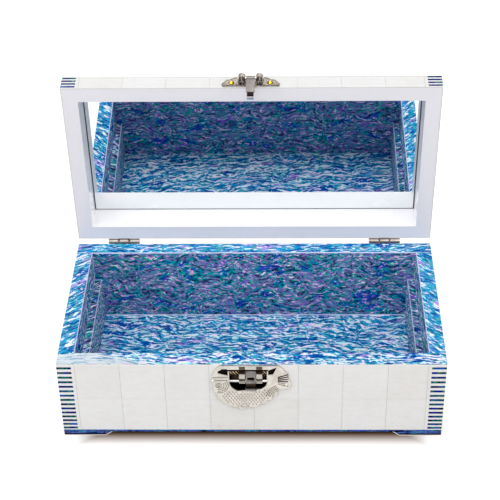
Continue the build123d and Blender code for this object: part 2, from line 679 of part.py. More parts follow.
def screws(z):
    """Countersunk wood screws through the leaves of both hinges."""
    for x in SCREWS_X:
        head = FACE_Y + LEAF_THICK - SCREW_SUNK
        tip = FACE_Y - SCREW_LONG + PILOT_FIT
        with BuildSketch(Plane.YZ.offset(x)) as section:
            with BuildLine():
                Polyline((head, z), (head, z + SCREW_HEAD_R - 2 * SCREW_SUNK), (FACE_Y, z + SCREW_R),
                         (tip, z + SCREW_R), (tip, z), close=True)
            make_face()
        revolve(section.sketch, Axis((x, 0, z), (0, 1, 0)), 360)


for place, side in (("left", -1), ("right", 1)):
    middle_x = side * HINGE_X
    step = KNUCKLE + KNUCKLE_GAP
    with BuildPart() as lower_leaf:
        leaf(middle_x, (middle_x - step, middle_x + step), -1)
    save(lower_leaf, f"hinge_lower_leaf_{place}")

    with BuildPart() as upper_leaf:
        leaf(middle_x, (middle_x,), 1)
    save_open(upper_leaf, f"hinge_upper_leaf_{place}")

with BuildPart() as hinge_pins:
    for side in (-1, 1):
        with BuildSketch(Plane.YZ.offset(side * HINGE_X - HINGE_LENGTH / 2)) as pin:
            with Locations((HINGE_Y, HINGE_Z)):
                Circle(HINGE_PIN_R)
        extrude(amount=HINGE_LENGTH)
save(hinge_pins, "hinge_pins")

with BuildPart() as hinge_screws_box:
    screws(BOX_SCREW_Z)
save(hinge_screws_box, "hinge_screws_box")

with BuildPart() as hinge_screws_lid:
    screws(LID_SCREW_Z)
save_open(hinge_screws_lid, "hinge_screws_lid")

# The lid, drawn closed. Its wooden body is an upright edge under a raised, bevelled top, cut
# into four rails and a panel. Insets are horizontal distances from the edge of the lid.

SLOPE = BEVEL_RUN / BEVEL_RISE
BEVEL_SHELL = SHELL * (1 + SLOPE**2) ** 0.5      # thickness of the bevel's shell, level
PANEL_TOP = LID_TOP - SHELL


def outer_inset(z):
    return (z - EDGE_Z) * SLOPE


def bevel_block(low, high, shell, mode=Mode.ADD):
    """A block with the slope of the bevel between two heights, inside a given level thickness."""
    with BuildSketch(Plane.XY.offset(low)) as foot_face:
        inset = outer_inset(low) + shell
        Rectangle(WIDTH - 2 * inset, DEPTH - 2 * inset)
    with BuildSketch(Plane.XY.offset(high)) as top_face:
        inset = outer_inset(high) + shell
        Rectangle(WIDTH - 2 * inset, DEPTH - 2 * inset)
    loft([foot_face.sketch, top_face.sketch], mode=mode)


def keep(x, y, z):
    """Keep only what lies inside a block."""
    board(x, y, z, mode=Mode.INTERSECT)


FRAME_X = FACE_X - FRAME_WIDTH
FRAME_Y = FACE_Y - FRAME_WIDTH
GLASS_BACK_Z = LID_Z + MIRROR_DEPTH + MIRROR_THICK
BODY_Z = (LID_Z, PANEL_TOP)

with BuildPart(mode=Mode.PRIVATE) as lid_body:
    board((-BOARD_X, BOARD_X), (-BOARD_Y, BOARD_Y), (LID_Z, EDGE_Z))
    bevel_block(EDGE_Z, PANEL_TOP, BEVEL_SHELL)

RAILS = {
    "front": ((-BOARD_X, BOARD_X), (-BOARD_Y, -FRAME_Y)),
    "back": ((-BOARD_X, BOARD_X), (FRAME_Y, BOARD_Y)),
    "left": ((-BOARD_X, -FRAME_X), (-FRAME_Y, FRAME_Y)),
    "right": ((FRAME_X, BOARD_X), (-FRAME_Y, FRAME_Y)),
}
for place, (x, y) in RAILS.items():
    with BuildPart() as rail:
        add(lid_body.part)
        keep(x, y, BODY_Z)
        if place == "front":
            bore(FRONT, HASP_PINS, PIN_HOLE_R, PIN_LONG)
        if place == "back":
            bore(BACK, [(x, LID_SCREW_Z) for x in SCREWS_X], HOLD_R, SCREW_LONG)
    save_open(rail, f"lid_rail_{place}")

with BuildPart() as lid_panel:
    add(lid_body.part)
    keep((-FRAME_X, FRAME_X), (-FRAME_Y, FRAME_Y), (GLASS_BACK_Z, PANEL_TOP))
save_open(lid_panel, "lid_panel")

with BuildPart() as mirror:
    with BuildSketch(Plane.XY.offset(LID_Z + MIRROR_DEPTH)):
        Rectangle(2 * (FRAME_X - MIRROR_FIT), 2 * (FRAME_Y - MIRROR_FIT))
    extrude(amount=MIRROR_THICK)
save_open(mirror, "mirror")

# Shell on the lid: tiles on the top, the bevel and the edge, and stripes round the corners

with BuildPart() as lid_top_tiles:
    bevel_block(PANEL_TOP, LID_TOP, 0)
    for x in upright_joints(FACE_X - BEVEL_RUN):
        board((x - JOINT / 2, x + JOINT / 2), (-FACE_Y, FACE_Y), (PANEL_TOP, LID_TOP), Mode.SUBTRACT)
    for y in even_joints(FACE_Y - BEVEL_RUN, END_TILE):
        board((-FACE_X, FACE_X), (y - JOINT / 2, y + JOINT / 2), (PANEL_TOP, LID_TOP), Mode.SUBTRACT)
save_open(lid_top_tiles, "lid_top_tiles")

with BuildPart() as lid_bevel_tiles:
    bevel_block(EDGE_Z, PANEL_TOP, 0)
    bevel_block(EDGE_Z, PANEL_TOP, BEVEL_SHELL, Mode.SUBTRACT)
    # mitred joints up the four corners, then one joint to each tile
    with BuildSketch(Plane.XY.offset(EDGE_Z)) as mitres:
        for side_x, side_y in CORNERS.values():
            middle = (side_x * (FACE_X - BEVEL_RUN / 2), side_y * (FACE_Y - BEVEL_RUN / 2))
            with Locations(Location(middle, 45 * side_x * side_y)):
                Rectangle(2 * BEVEL_RUN, JOINT)
    extrude(amount=BEVEL_RISE, mode=Mode.SUBTRACT)
    for x in upright_joints(FACE_X)[1:-1]:
        board((x - JOINT / 2, x + JOINT / 2), (-FACE_Y, FACE_Y), (EDGE_Z, LID_TOP), Mode.SUBTRACT)
    for y in SIDE_JOINTS[1:-1]:
        board((-FACE_X, FACE_X), (y - JOINT / 2, y + JOINT / 2), (EDGE_Z, LID_TOP), Mode.SUBTRACT)
save_open(lid_bevel_tiles, "lid_bevel_tiles")

with BuildPart() as lid_front_facing:
    extrude(tiles(FRONT, FACE_X, LID_Z, EDGE_Z, FRONT_JOINTS, (), LID_STRIPES_Z, STRIPE_RUN),
            amount=-SHELL)
    bore(FRONT, HASP_PINS, PIN_HOLE_R, PIN_LONG)
save_open(lid_front_facing, "lid_front_facing")

with BuildPart() as lid_back_facing:
    extrude(tiles(BACK, FACE_X, LID_Z, EDGE_Z, FRONT_JOINTS, (), LID_STRIPES_Z, STRIPE_RUN),
            amount=SHELL)
    bore(BACK, [(x, LID_SCREW_Z) for x in SCREWS_X], HOLD_R, SCREW_LONG)
save_open(lid_back_facing, "lid_back_facing")

for place, side in (("left", -1), ("right", 1)):
    with BuildPart() as lid_side_facing:
        extrude(
            tiles(Plane.YZ.offset(side * FACE_X), BOARD_Y, LID_Z, EDGE_Z, SIDE_JOINTS, (),
                  LID_STRIPES_Z, STRIPE_RUN - SHELL),
            amount=-side * SHELL)
    save_open(lid_side_facing, f"lid_{place}_facing")

with BuildPart() as lid_corner_stripes:
    for side_x, side_y in CORNERS.values():
        corner_stripe(side_x, side_y, LID_STRIPES_Z)
save_open(lid_corner_stripes, "lid_corner_stripes")

# The hasp on the lid's front edge: a wavy plate, two hollow ribs, an axle and the arm


def hasp(side, x, up):
    return (CLASP_X + side * x, LID_Z + HASP_LOW + up)


with BuildPart() as hasp_plate:
    with BuildSketch(FRONT) as wings:
        with BuildLine():
            low = Line(hasp(-1, 21.2, 0), hasp(1, 21.2, 0))
            tip = ThreePointArc(low @ 1, hasp(1, 22.0, 1.3), hasp(1, 20.9, 3.5))
            fin = ThreePointArc(tip @ 1, hasp(1, 19.3, 6.3), hasp(1, 17.4, 7.8))
            step = ThreePointArc(fin @ 1, hasp(1, 15.6, 8.0), hasp(1, 14.2, 9.0))
            crest = ThreePointArc(step @ 1, hasp(1, 12.0, 10.3), hasp(1, 8.6, 10.6))
            Line(crest @ 1, hasp(-1, 8.6, 10.6))
            crest = ThreePointArc(hasp(-1, 8.6, 10.6), hasp(-1, 12.0, 10.3), hasp(-1, 14.2, 9.0))
            step = ThreePointArc(crest @ 1, hasp(-1, 15.6, 8.0), hasp(-1, 17.4, 7.8))
            fin = ThreePointArc(step @ 1, hasp(-1, 19.3, 6.3), hasp(-1, 20.9, 3.5))
            ThreePointArc(fin @ 1, hasp(-1, 22.0, 1.3), low @ 0)
        make_face()
        with Locations(*HASP_PINS):
            Circle(PIN_HOLE_R, mode=Mode.SUBTRACT)
    extrude(amount=PLATE_THICK)
    plate_front = -FACE_Y - PLATE_THICK
    arch_y = plate_front - RIB_OUT + RIB_WIDE / 2
    for side in (-1, 1):
        with BuildSketch(Plane.XY.offset(LID_Z + RIB_LOW)) as arch:
            with Locations((CLASP_X + side * RIB_X, arch_y)):
                Circle(RIB_WIDE / 2)
            with Locations((CLASP_X + side * RIB_X, (arch_y + plate_front) / 2 + 0.1)):
                Rectangle(RIB_WIDE, plate_front - arch_y + 0.2)
            with Locations((CLASP_X + side * RIB_X, arch_y)):
                Circle(RIB_WIDE / 2 - RIB_WALL, mode=Mode.SUBTRACT)
            with Locations((CLASP_X + side * RIB_X, (arch_y + plate_front) / 2)):
                Rectangle(RIB_WIDE - 2 * RIB_WALL, plate_front - arch_y, mode=Mode.SUBTRACT)
        extrude(amount=RIB_HIGH)
    bore(Plane.YZ.offset(CLASP_X), [(AXLE_Y, AXLE_Z)], AXLE_R + PILOT_FIT / 2, 2 * RIB_X)
save_open(hasp_plate, "hasp_plate")

with BuildPart() as hasp_pins:
    pins(HASP_PINS, HASP_PIN_HEAD)
save_open(hasp_pins, "hasp_pins")

AXLE_HALF = RIB_X + RIB_WIDE / 2
with BuildPart() as hasp_axle:
    with BuildSketch(Plane.YZ.offset(CLASP_X - AXLE_HALF)):
        with Locations((AXLE_Y, AXLE_Z)):
            Circle(AXLE_R)
    extrude(amount=2 * AXLE_HALF)
save_open(hasp_axle, "hasp_axle")

with BuildPart() as hasp_arm:
    front = AXLE_Y - ARM_SHEET / 2
    rear = AXLE_Y + ARM_SHEET / 2
    tab_z = SLOT_MIDDLE_Z - HOOK_TAB / 2
    bend_y = front + HOOK_BEND_R
    bend_z = tab_z + HOOK_BEND_R
    half = HOOK_BEND_R * 0.7071
    inner_r = HOOK_BEND_R - (HOOK_TAB + ARM_SHEET) / 2
    inner_y = rear + inner_r
    inner_z = tab_z + HOOK_TAB + inner_r
    with BuildSketch(Plane.YZ.offset(CLASP_X - ARM_WIDE / 2)) as section:
        with BuildLine():
            Polyline((rear, inner_z), (rear, AXLE_Z), (front, AXLE_Z), (front, bend_z))
            ThreePointArc((front, bend_z), (bend_y - half, bend_z - half), (bend_y, tab_z))
            Polyline((bend_y, tab_z), (-FACE_Y + HOOK_REACH, tab_z),
                     (-FACE_Y + HOOK_REACH, tab_z + HOOK_TAB), (inner_y, tab_z + HOOK_TAB))
            ThreePointArc((inner_y, tab_z + HOOK_TAB),
                          (inner_y - inner_r * 0.7071, inner_z - inner_r * 0.7071), (rear, inner_z))
        make_face()
        # the heel stops the arm level with the edge of the lid
        heel_end = -FACE_Y - PLATE_THICK - HEEL_FIT
        with Locations(((AXLE_Y + heel_end) / 2, AXLE_Z - HEEL_DROP)):
            Rectangle(heel_end - AXLE_Y, HEEL_THICK)
        with Locations((AXLE_Y, AXLE_Z)):
            Circle(ARM_EYE_R)
            Circle(AXLE_R + RUNNING_FIT, mode=Mode.SUBTRACT)
    extrude(amount=ARM_WIDE)
    # the hook is narrower than the arm, with sloping shoulders
    shoulder_z = bend_z + SHOULDER_UP
    past_z = tab_z - 1
    spare = (ARM_WIDE - HOOK_WIDE) / 2
    for side in (-1, 1):
        with BuildSketch(FRONT) as shoulder:
            edge_x = CLASP_X + side * ARM_WIDE / 2
            with BuildLine():
                Polyline((edge_x, shoulder_z + SHOULDER_RUN), (edge_x - side * spare, shoulder_z),
                         (edge_x - side * spare, past_z), (edge_x + side, past_z),
                         (edge_x + side, shoulder_z + SHOULDER_RUN), close=True)
            make_face()
        extrude(amount=CUT_PAST, both=True, mode=Mode.SUBTRACT)
save_open(hasp_arm, "hasp_arm")
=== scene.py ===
# %% [markdown]
# # A mother of pearl jewelry box
#
# This lesson dresses a finished CAD model of a shell-covered jewelry box. The CAD model already
# has every board, tile, hinge and clasp in its place, so the work here is light, finish and the
# fine relief of the metal. The studio is laid out in metres, which is what Blender works in, and
# the box stands on the floor at zero height. Sizes on the box itself are written in millimetres,
# as its maker would give them, and MM turns them into metres.

# %% Load the CAD model
import json
from fnmatch import fnmatch
from math import cos, pi, radians, sin

import bmesh
import bpy
from mathutils import Matrix, Vector


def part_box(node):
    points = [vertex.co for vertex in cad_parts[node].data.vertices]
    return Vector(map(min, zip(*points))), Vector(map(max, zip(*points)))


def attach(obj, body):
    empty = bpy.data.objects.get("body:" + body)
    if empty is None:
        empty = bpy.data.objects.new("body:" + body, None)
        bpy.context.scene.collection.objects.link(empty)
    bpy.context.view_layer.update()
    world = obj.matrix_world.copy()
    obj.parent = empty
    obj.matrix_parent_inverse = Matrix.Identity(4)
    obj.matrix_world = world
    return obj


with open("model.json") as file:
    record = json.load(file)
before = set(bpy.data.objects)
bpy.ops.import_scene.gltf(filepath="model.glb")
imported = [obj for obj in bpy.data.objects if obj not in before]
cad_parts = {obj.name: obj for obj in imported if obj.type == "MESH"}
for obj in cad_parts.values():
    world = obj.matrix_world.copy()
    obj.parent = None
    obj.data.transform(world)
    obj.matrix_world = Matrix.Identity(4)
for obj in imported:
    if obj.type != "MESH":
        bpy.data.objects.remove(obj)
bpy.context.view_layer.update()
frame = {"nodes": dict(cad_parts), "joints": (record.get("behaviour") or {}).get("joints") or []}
MM = 0.001

# %% [markdown]
# Some places are needed again and again: the front face, the rim, the middle of the clasp and
# the hinge line. They are read from the CAD pieces, so that they stay right if the box changes.

# %% Places on the box
FACE_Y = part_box("front_facing")[0].y
BACK_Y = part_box("back_facing")[1].y
MIDDLE = Vector((0, (FACE_Y + BACK_Y) / 2, 0))
RIM_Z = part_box("rim_front")[1].z
CLASP_X = (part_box("hasp_arm")[0].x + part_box("hasp_arm")[1].x) / 2
ROD_Z = (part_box("catch_rod")[0].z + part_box("catch_rod")[1].z) / 2
LID_HINGE = next(j for j in frame["joints"] if j["name"] == "lid_hinge")
HINGE = Vector(LID_HINGE["pos_m"])
LID_ANGLE = radians(max(LID_HINGE["range_deg"]))
print("front face at", round(FACE_Y / MM, 2), "mm, rim at", round(RIM_Z / MM, 2), "mm")

# %% [markdown]
# ## Camera
#
# The view was solved from the corners of the box: where the camera stands, how far it looks
# down, how far it is turned and tilted, and how long its lens is. Writing these values down is
# clearer than aiming the camera at a target, and it gives the same picture every time.

# %% Camera
LOOK_DOWN = radians(36.532)
TURN = radians(1.672)
TILT = radians(-1.1055)
FOCAL_PIXELS = 1402.17
IMAGE_PIXELS = 500
SENSOR_MM = 36.0
FROM_BOX = Vector((23.85, -857.8, 757.85)) * MM

camera_data = bpy.data.cameras.new("camera")
camera_data.sensor_width = SENSOR_MM
camera_data.lens = FOCAL_PIXELS / IMAGE_PIXELS * SENSOR_MM
camera = bpy.data.objects.new("camera", camera_data)
bpy.context.scene.collection.objects.link(camera)
camera.matrix_world = (
    Matrix.Translation(MIDDLE + FROM_BOX)
    @ Matrix.Rotation(TURN, 4, "Z")
    @ Matrix.Rotation(pi / 2 - LOOK_DOWN, 4, "X")
    @ Matrix.Rotation(TILT, 4, "Z")
)
bpy.context.scene.camera = camera
bpy.context.scene.view_settings.view_transform = "Standard"
print("lens", round(camera_data.lens, 2), "mm")

# %% [markdown]
# ## Writing shaders as sums
#
# A finish in Blender is a tree of nodes. Drawing it node by node is long to write and hard to
# read, so small classes do it. A Wire is the output of a node, and adding or multiplying Wires
# adds the Math nodes. A Shader is a tree of nodes, and its one method node makes any other node.
# A Finish is the Shader of a material.


# %% Wire: a shader output that can be added and multiplied
class Wire:
    """One output of a shader node."""

    def __init__(self, shader, socket):
        self.shader = shader
        self.socket = socket

    def math(self, operation, *values):
        return self.shader.node("Math", {"operation": operation}, dict(enumerate(values)))

    def __add__(self, other):
        return self.math("ADD", self, other)

    def __sub__(self, other):
        return self.math("SUBTRACT", self, other)

    def __rsub__(self, other):
        return self.math("SUBTRACT", other, self)

    def __mul__(self, other):
        return self.math("MULTIPLY", self, other)

    def __truediv__(self, other):
        return self.math("DIVIDE", self, other)

    def __abs__(self):
        return self.math("ABSOLUTE", self)

    def floor(self):
        return self.math("FLOOR", self)

    def larger(self, other):
        return self.math("MAXIMUM", self, other)

    def rises(self, low, high):
        """0 below low, 1 above high, and a soft step between them. Low may be above high."""
        return self.shader.node(
            "MapRange",
            {"interpolation_type": "SMOOTHSTEP"},
            {"Value": self, "From Min": low, "From Max": high},
        )

    __radd__ = __add__
    __rmul__ = __mul__


# %% Colours as they look on the screen
def colour(red, green, blue):
    """A colour given as 0 to 255, turned to the plain light that Blender works with."""
    parts = [v / 255 for v in (red, green, blue)]
    light = [v / 12.92 if v < 0.04045 else ((v + 0.055) / 1.055) ** 2.4 for v in parts]
    return (*light, 1.0)


def stops(*rows):
    """The stops of a colour ramp; each row is a position and a colour."""
    return [(position, colour(*shade)) for position, *shade in rows]


# %% Shader and Finish: trees of nodes and the few ways to fill them
class Shader:
    """The nodes of a material or of the world, which lead to one last node."""

    def __init__(self, owner, last):
        owner.use_nodes = True
        self.tree = owner.node_tree
        self.last = self.tree.nodes[last]

    def plug(self, value, socket):
        if isinstance(value, Wire):
            self.tree.links.new(value.socket, socket)
        else:
            socket.default_value = value

    def node(self, kind, settings=None, inputs=None, output=0):
        """Any shader node: its type, its settings, and the values or wires of its sockets."""
        made = self.tree.nodes.new("ShaderNode" + kind)
        for name, value in (settings or {}).items():
            if name == "stops":
                for _ in value[2:]:
                    made.color_ramp.elements.new(0.5)
                for element, (position, shade) in zip(made.color_ramp.elements, value):
                    element.position = position
                    element.color = shade
            else:
                setattr(made, name, value)
        for name, value in (inputs or {}).items():
            self.plug(value, made.inputs[name])
        return Wire(self, made.outputs[output])

    def ramp(self, value, shades):
        return self.node("ValToRGB", {"stops": shades}, {"Fac": value})

    def mix(self, factor, first, second):
        return self.node("Mix", {"data_type": "RGBA"}, {0: factor, 6: first, 7: second}, 2)

    def vector(self, operation, first, second):
        return self.node("VectorMath", {"operation": operation}, {0: first, 1: second})

    def noise(self, place, scale, detail, roughness, output=0):
        inputs = {"Vector": place, "Scale": scale, "Detail": detail, "Roughness": roughness}
        return self.node("TexNoise", {}, inputs, output)

    def surface(self, **inputs):
        """Set sockets of the last node; base_color stands for Base Color, and so on."""
        words = {"ior": "IOR", "coat_ior": "Coat IOR", "specular": "Specular IOR Level"}
        for name, value in inputs.items():
            socket = words.get(name, name.replace("_", " ").title())
            self.plug(value, self.last.inputs[socket])
        return self


class Finish(Shader):
    """A material with a Principled shader."""

    def __init__(self, name):
        self.material = bpy.data.materials.new(name)
        super().__init__(self.material, "Principled BSDF")


# %% [markdown]
# ## Measuring on the surface
#
# Shell tiles, stripes and filler lines lie at known places, so the finishes work in millimetres
# on the closed box: x from the middle, y from the middle of the box and z from the table. The
# lid stands open, so its points are first turned back about the hinge. Generated or UV
# coordinates would give every piece its own zero, and a line could not run on from one piece to
# the next.


# %% Where a point lies, in millimetres on the closed box
def place_on(finish, body):
    """The point being shaded, in millimetres on the closed box."""
    point = finish.node("TexCoord", {}, {}, "Object")
    if body in ("lid", "hasp_arm"):
        turned = {"Vector": point, "Center": HINGE, "Angle": LID_ANGLE}
        point = finish.node("VectorRotate", {"rotation_type": "X_AXIS"}, turned)
    point = finish.vector("SUBTRACT", point, MIDDLE)
    return finish.vector("MULTIPLY", point, (1 / MM,) * 3)


def apart(finish, point):
    """The x, y and z of a point as three wires."""
    split = finish.node("SeparateXYZ", {}, {"Vector": point})
    return [Wire(finish, s) for s in split.socket.node.outputs]


def corners_of(node):
    """The lowest and the highest corner of a piece of the box, in the same millimetres."""
    return [(corner - MIDDLE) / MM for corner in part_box(node)]


# %% [markdown]
# ## Light and floor
#
# The box stands in a white studio. The world gives light from all around, two wide lamps stand
# in front to the left and the right, one hangs above and a weak one behind. The world and the
# floor look white to the camera and in reflections, because a Light Path node tells these rays
# from the others. To all other rays they are weaker, so that the white of the picture doesn't
# come from more light on the box.


# %% World
WORLD_LIGHT = 0.46


def seen_by(shader, *rays):
    """1 for these kinds of ray and 0 for all others."""
    seen = shader.node("LightPath", {}, {}, rays[0])
    for ray in rays[1:]:
        seen = seen.larger(shader.node("LightPath", {}, {}, ray))
    return seen


world = bpy.data.worlds.new("studio")
bpy.context.scene.world = world
air = Shader(world, "Background")
seen = seen_by(air, "Is Camera Ray", "Is Glossy Ray", "Is Transmission Ray")
level = air.node("MapRange", {}, {"Value": seen, "To Min": WORLD_LIGHT})
air.surface(color=(1, 1, 1, 1), strength=level)
print("world light", WORLD_LIGHT)

# %% Lamps, each with its place, its width and height, and its power in watts
LAMPS = {
    "lamp_above": ((-0.1, -0.7, 1.5), (1.4, 1.2), 12.0),
    "lamp_left": ((-1.9, -1.0, 0.9), (1.6, 1.2), 17.0),
    "lamp_right": ((1.9, -1.0, 0.9), (1.6, 1.2), 16.0),
    "lamp_behind": ((0.2, 1.8, 1.2), (1.6, 1.0), 8.0),
}
LAMPS_LOOK_AT = Vector((0, 0, 0.1))

for name, (position, size, power) in LAMPS.items():
    lamp = bpy.data.lights.new(name, "AREA")
    lamp.shape = "RECTANGLE"
    lamp.size, lamp.size_y = size
    lamp.energy = power
    holder = bpy.data.objects.new(name, lamp)
    holder.location = position
    holder.visible_camera = False
    aim = LAMPS_LOOK_AT - Vector(position)
    holder.rotation_euler = aim.to_track_quat("-Z", "Y").to_euler()
    bpy.context.scene.collection.objects.link(holder)
print(len(LAMPS), "lamps")


# %% Flat sheets for the floor and the dark card
def studio_sheet(name, half, near, far, finish):
    """A flat sheet of the studio: its half width, and the y and z of its two long edges."""
    corners = [(-half, *near), (half, *near), (half, *far), (-half, *far)]
    mesh = bpy.data.meshes.new(name)
    mesh.from_pydata(corners, [], [(0, 1, 2, 3)])
    mesh.materials.append(finish.material)
    sheet = bpy.data.objects.new(name, mesh)
    bpy.context.scene.collection.objects.link(sheet)
    return sheet


# %% [markdown]
# A real lamp leaves a soft brown shadow where the box meets the paper. So much light comes from
# all around here that this shadow would be lost, so it is painted on the paper. It begins under
# the front edge, fades towards the camera and the two ends of the box, and ends before the back.

# %% Floor, with a brown contact shadow under the front edge
FLOOR_GLOW = 0.27
FLOOR_EDGE = 4.0
SHADOW_FRONT = (-4.0, 25.0)
SHADOW_SIDE = (-32.0, 12.0)
SHADOW_BACK = (-12.0, 0.0)
SHADOW_BROWN = colour(112, 82, 60)
PAPER_WHITE = colour(255, 254, 252)
PAPER_GREY = colour(176, 174, 172)

paper = Finish("studio_paper")
x, y, z = apart(paper, place_on(paper, "box"))
half_x = corners_of("base_board")[1].x
half_y = (BACK_Y - FACE_Y) / 2 / MM
clear = (-half_y - y).rises(*SHADOW_FRONT)
clear = clear.larger((abs(x) - half_x).rises(*SHADOW_SIDE))
clear = clear.larger((y - half_y).rises(*SHADOW_BACK))
clear = 1 - (1 - clear) * (1 - clear)
seen = seen_by(paper, "Is Camera Ray", "Is Glossy Ray")
lit = paper.mix(clear, SHADOW_BROWN, PAPER_WHITE)
paper.surface(base_color=paper.mix(seen, PAPER_GREY, lit), roughness=0.9, specular=0.0,
              emission_color=colour(255, 255, 255), emission_strength=seen * clear * FLOOR_GLOW)
studio_sheet("floor", FLOOR_EDGE, (-FLOOR_EDGE, 0), (FLOOR_EDGE, 0), paper)
print("floor", 2 * FLOOR_EDGE, "m wide")

# %% [markdown]
# Polished metal in an all-white room looks like grey plaster, because there is nothing to
# mirror. A photographer puts a dark card behind the camera. Only reflections see it here, so it
# takes no light from the box.

# %% Dark card
CARD_Y = -2.2
CARD_HALF = 1.3
CARD_LOW, CARD_HIGH = 0.12, 1.7

felt = Finish("card_felt")
felt.surface(base_color=colour(24, 16, 10), roughness=1.0, specular=0.0)
card = studio_sheet("dark_card", CARD_HALF, (CARD_Y, CARD_LOW), (CARD_Y, CARD_HIGH), felt)
card.visible_camera = card.visible_diffuse = card.visible_shadow = False
print("card from", CARD_LOW, "to", CARD_HIGH, "m")

# %% [markdown]
# ## White mother of pearl
#
# The white shell is cut into tiles and laid in two rows. Each tile comes from another shell, so
# each has its own slight tint, and within a tile the layers of the shell show as faint silky
# waves. The tiles are real solids with open joints, and each could have a material of its own.
# One finish for all is shorter: it works out in which column and row a point lies, and a White
# Noise node turns those numbers into the tile's tint.

# %% Pearl
TILE_WIDTH = 33.33
TILE_SHIFT = 1.85
ROW_Z = 37.7
RIM_MM = RIM_Z / MM
LID_EDGE_TOP = 88.3
SILK_RUN = (0.05, 0.05, 0.12)
SILK_BEND = 0.9
PEARL_TINTS = stops(
    (0.0, 231, 228, 223), (0.3, 238, 237, 235), (0.55, 242, 242, 242),
    (0.8, 245, 246, 248), (1.0, 249, 247, 251))
SHIMMER = colour(245, 239, 243)
BLACK = colour(0, 0, 0)
GREY_EDGE = colour(170, 163, 155)
PALE_EDGE = colour(246, 245, 243)


def pearl(body, dim=0.0):
    """Pearl tiles; dim is how much darker they are than the ones on the box, as painted shade."""
    finish = Finish(f"pearl_{body}")
    point = place_on(finish, body)
    x, y, z = apart(finish, point)
    column, other = (((along - TILE_SHIFT) / TILE_WIDTH).floor() for along in (x, y))
    row = z.rises(ROW_Z - 0.05, ROW_Z + 0.05)
    tile = finish.node("CombineXYZ", {}, {0: column, 1: other, 2: row})
    tint = finish.node("TexWhiteNoise", {}, {"Vector": tile})
    waves = finish.vector("MULTIPLY", point, SILK_RUN)
    wander = finish.noise(waves, 1.3, 3, 0.6, 1)
    waves = finish.vector("ADD", waves, finish.vector("MULTIPLY", wander, (SILK_BEND,) * 3))
    silk = finish.noise(waves, 3.2, 5, 0.62)
    mottle = finish.noise(point, 0.035, 3, 0.55)
    level = 0.25 + tint * 0.28 + (silk - 0.5) * 0.75 + (mottle - 0.5) * 0.5
    shimmer = finish.noise(waves, 1.7, 2, 0.5).rises(0.52, 0.72)
    shown = finish.mix(shimmer * 0.35, finish.ramp(level, PEARL_TINTS), SHIMMER)
    # Painted shade: the lid's tiles face the lamp above, so they are a darker copy of the pearl.
    shown = finish.mix(dim, shown, BLACK)
    if body == "lid":
        edge = z.rises(LID_EDGE_TOP - 0.8, LID_EDGE_TOP - 0.5)
        edge = edge * z.rises(LID_EDGE_TOP + 0.1, LID_EDGE_TOP)
        shown = finish.mix(edge * 0.8, shown, GREY_EDGE)
    else:
        under_rim = z.rises(RIM_MM - 2.6, RIM_MM - 2.0)
        shown = finish.mix(under_rim * 0.8, shown, PALE_EDGE)
    return finish.surface(base_color=shown, roughness=0.28 - silk * 0.1, specular=0.3,
                          coat_weight=0.4, coat_roughness=0.06, coat_ior=1.4)


# %% [markdown]
# ## Blue abalone shell
#
# Abalone is made of thin wavy layers that break the light into blue, green and pink. Polished
# flat, they show as curved streaks. A picture of real shell would repeat, and it could not follow
# each piece. So noise that is stretched along the run of the shell gives the height of the layers,
# and the slope is the height one small step further less the height here. The streaks are then
# shaded as relief lit from one side: a rising slope gets pale flakes, partly the shell's own pale
# layers and partly painted highlight, and a falling one gets dark creases of painted shade. Small
# warm glints are painted over both as painted highlights.
#
# The coordinates are bent before any of this, in wide sweeps and in ripples, or the streaks
# would all be straight. The inner walls are seen in shade and at another angle, where the shell
# turns navy, purple and green, so they have colours of their own.


# %% The run of the shell and the height of its layers
STEP = (0, 0.4, 0.4)


def layers(finish, point, stretch, bend, slant):
    """Coordinates along the shell's run, bent twice: in wide sweeps and in ripples."""
    bent = point
    for size, by in ((0.03, bend), (0.11, bend * 0.2)):
        wander = finish.noise(finish.vector("MULTIPLY", point, (size,) * 3), 1.0, 2, 0.5, 1)
        wander = finish.vector("SUBTRACT", wander, (0.5, 0.5, 0.5))
        bent = finish.vector("ADD", bent, finish.vector("MULTIPLY", wander, (by,) * 3))
    turned = {"Vector": bent, "Angle": radians(slant)}
    bent = finish.node("VectorRotate", {"rotation_type": "Z_AXIS"}, turned)
    return finish.vector("MULTIPLY", bent, stretch)


def height(finish, run):
    """How high the wavy layers of the shell stand at a point."""
    return finish.noise(run, 0.8, 2, 0.5) * 0.5 + finish.noise(run, 1.5, 3, 0.6) * 0.5


def slope_of(finish, run):
    """How steeply the layers rise, with a slow swell for richer and poorer patches; it places
    painted light.
    """
    rise = height(finish, finish.vector("ADD", run, STEP)) - height(finish, run)
    return rise + (finish.noise(run, 0.22, 2, 0.5) - 0.5) * 0.12


def spread(field):
    """Noise stays near a half, so it is spread to reach both ends of a colour ramp."""
    return (field - 0.5) * 1.7 + 0.5


# %% Colours of the shell, in the light and in the shade of the walls
HUES = stops(
    (0.34, 0, 100, 190), (0.40, 0, 156, 214), (0.44, 0, 190, 190), (0.47, 112, 176, 200),
    (0.50, 0, 130, 208), (0.54, 0, 186, 224), (0.58, 0, 120, 210), (0.61, 116, 150, 220),
    (0.65, 0, 190, 174), (0.70, 176, 150, 240))
FLAKES = stops(
    (0.36, 110, 240, 248), (0.43, 224, 252, 255), (0.49, 255, 255, 255), (0.54, 236, 246, 255),
    (0.58, 255, 214, 250), (0.63, 214, 230, 255), (0.68, 236, 255, 244))
SHADE_HUES = stops(
    (0.30, 40, 80, 190), (0.36, 0, 120, 180), (0.41, 0, 190, 156), (0.44, 0, 104, 180),
    (0.47, 142, 118, 196), (0.50, 0, 150, 150), (0.53, 90, 130, 176), (0.56, 166, 96, 206),
    (0.59, 0, 110, 180), (0.64, 0, 190, 150), (0.71, 120, 100, 200))
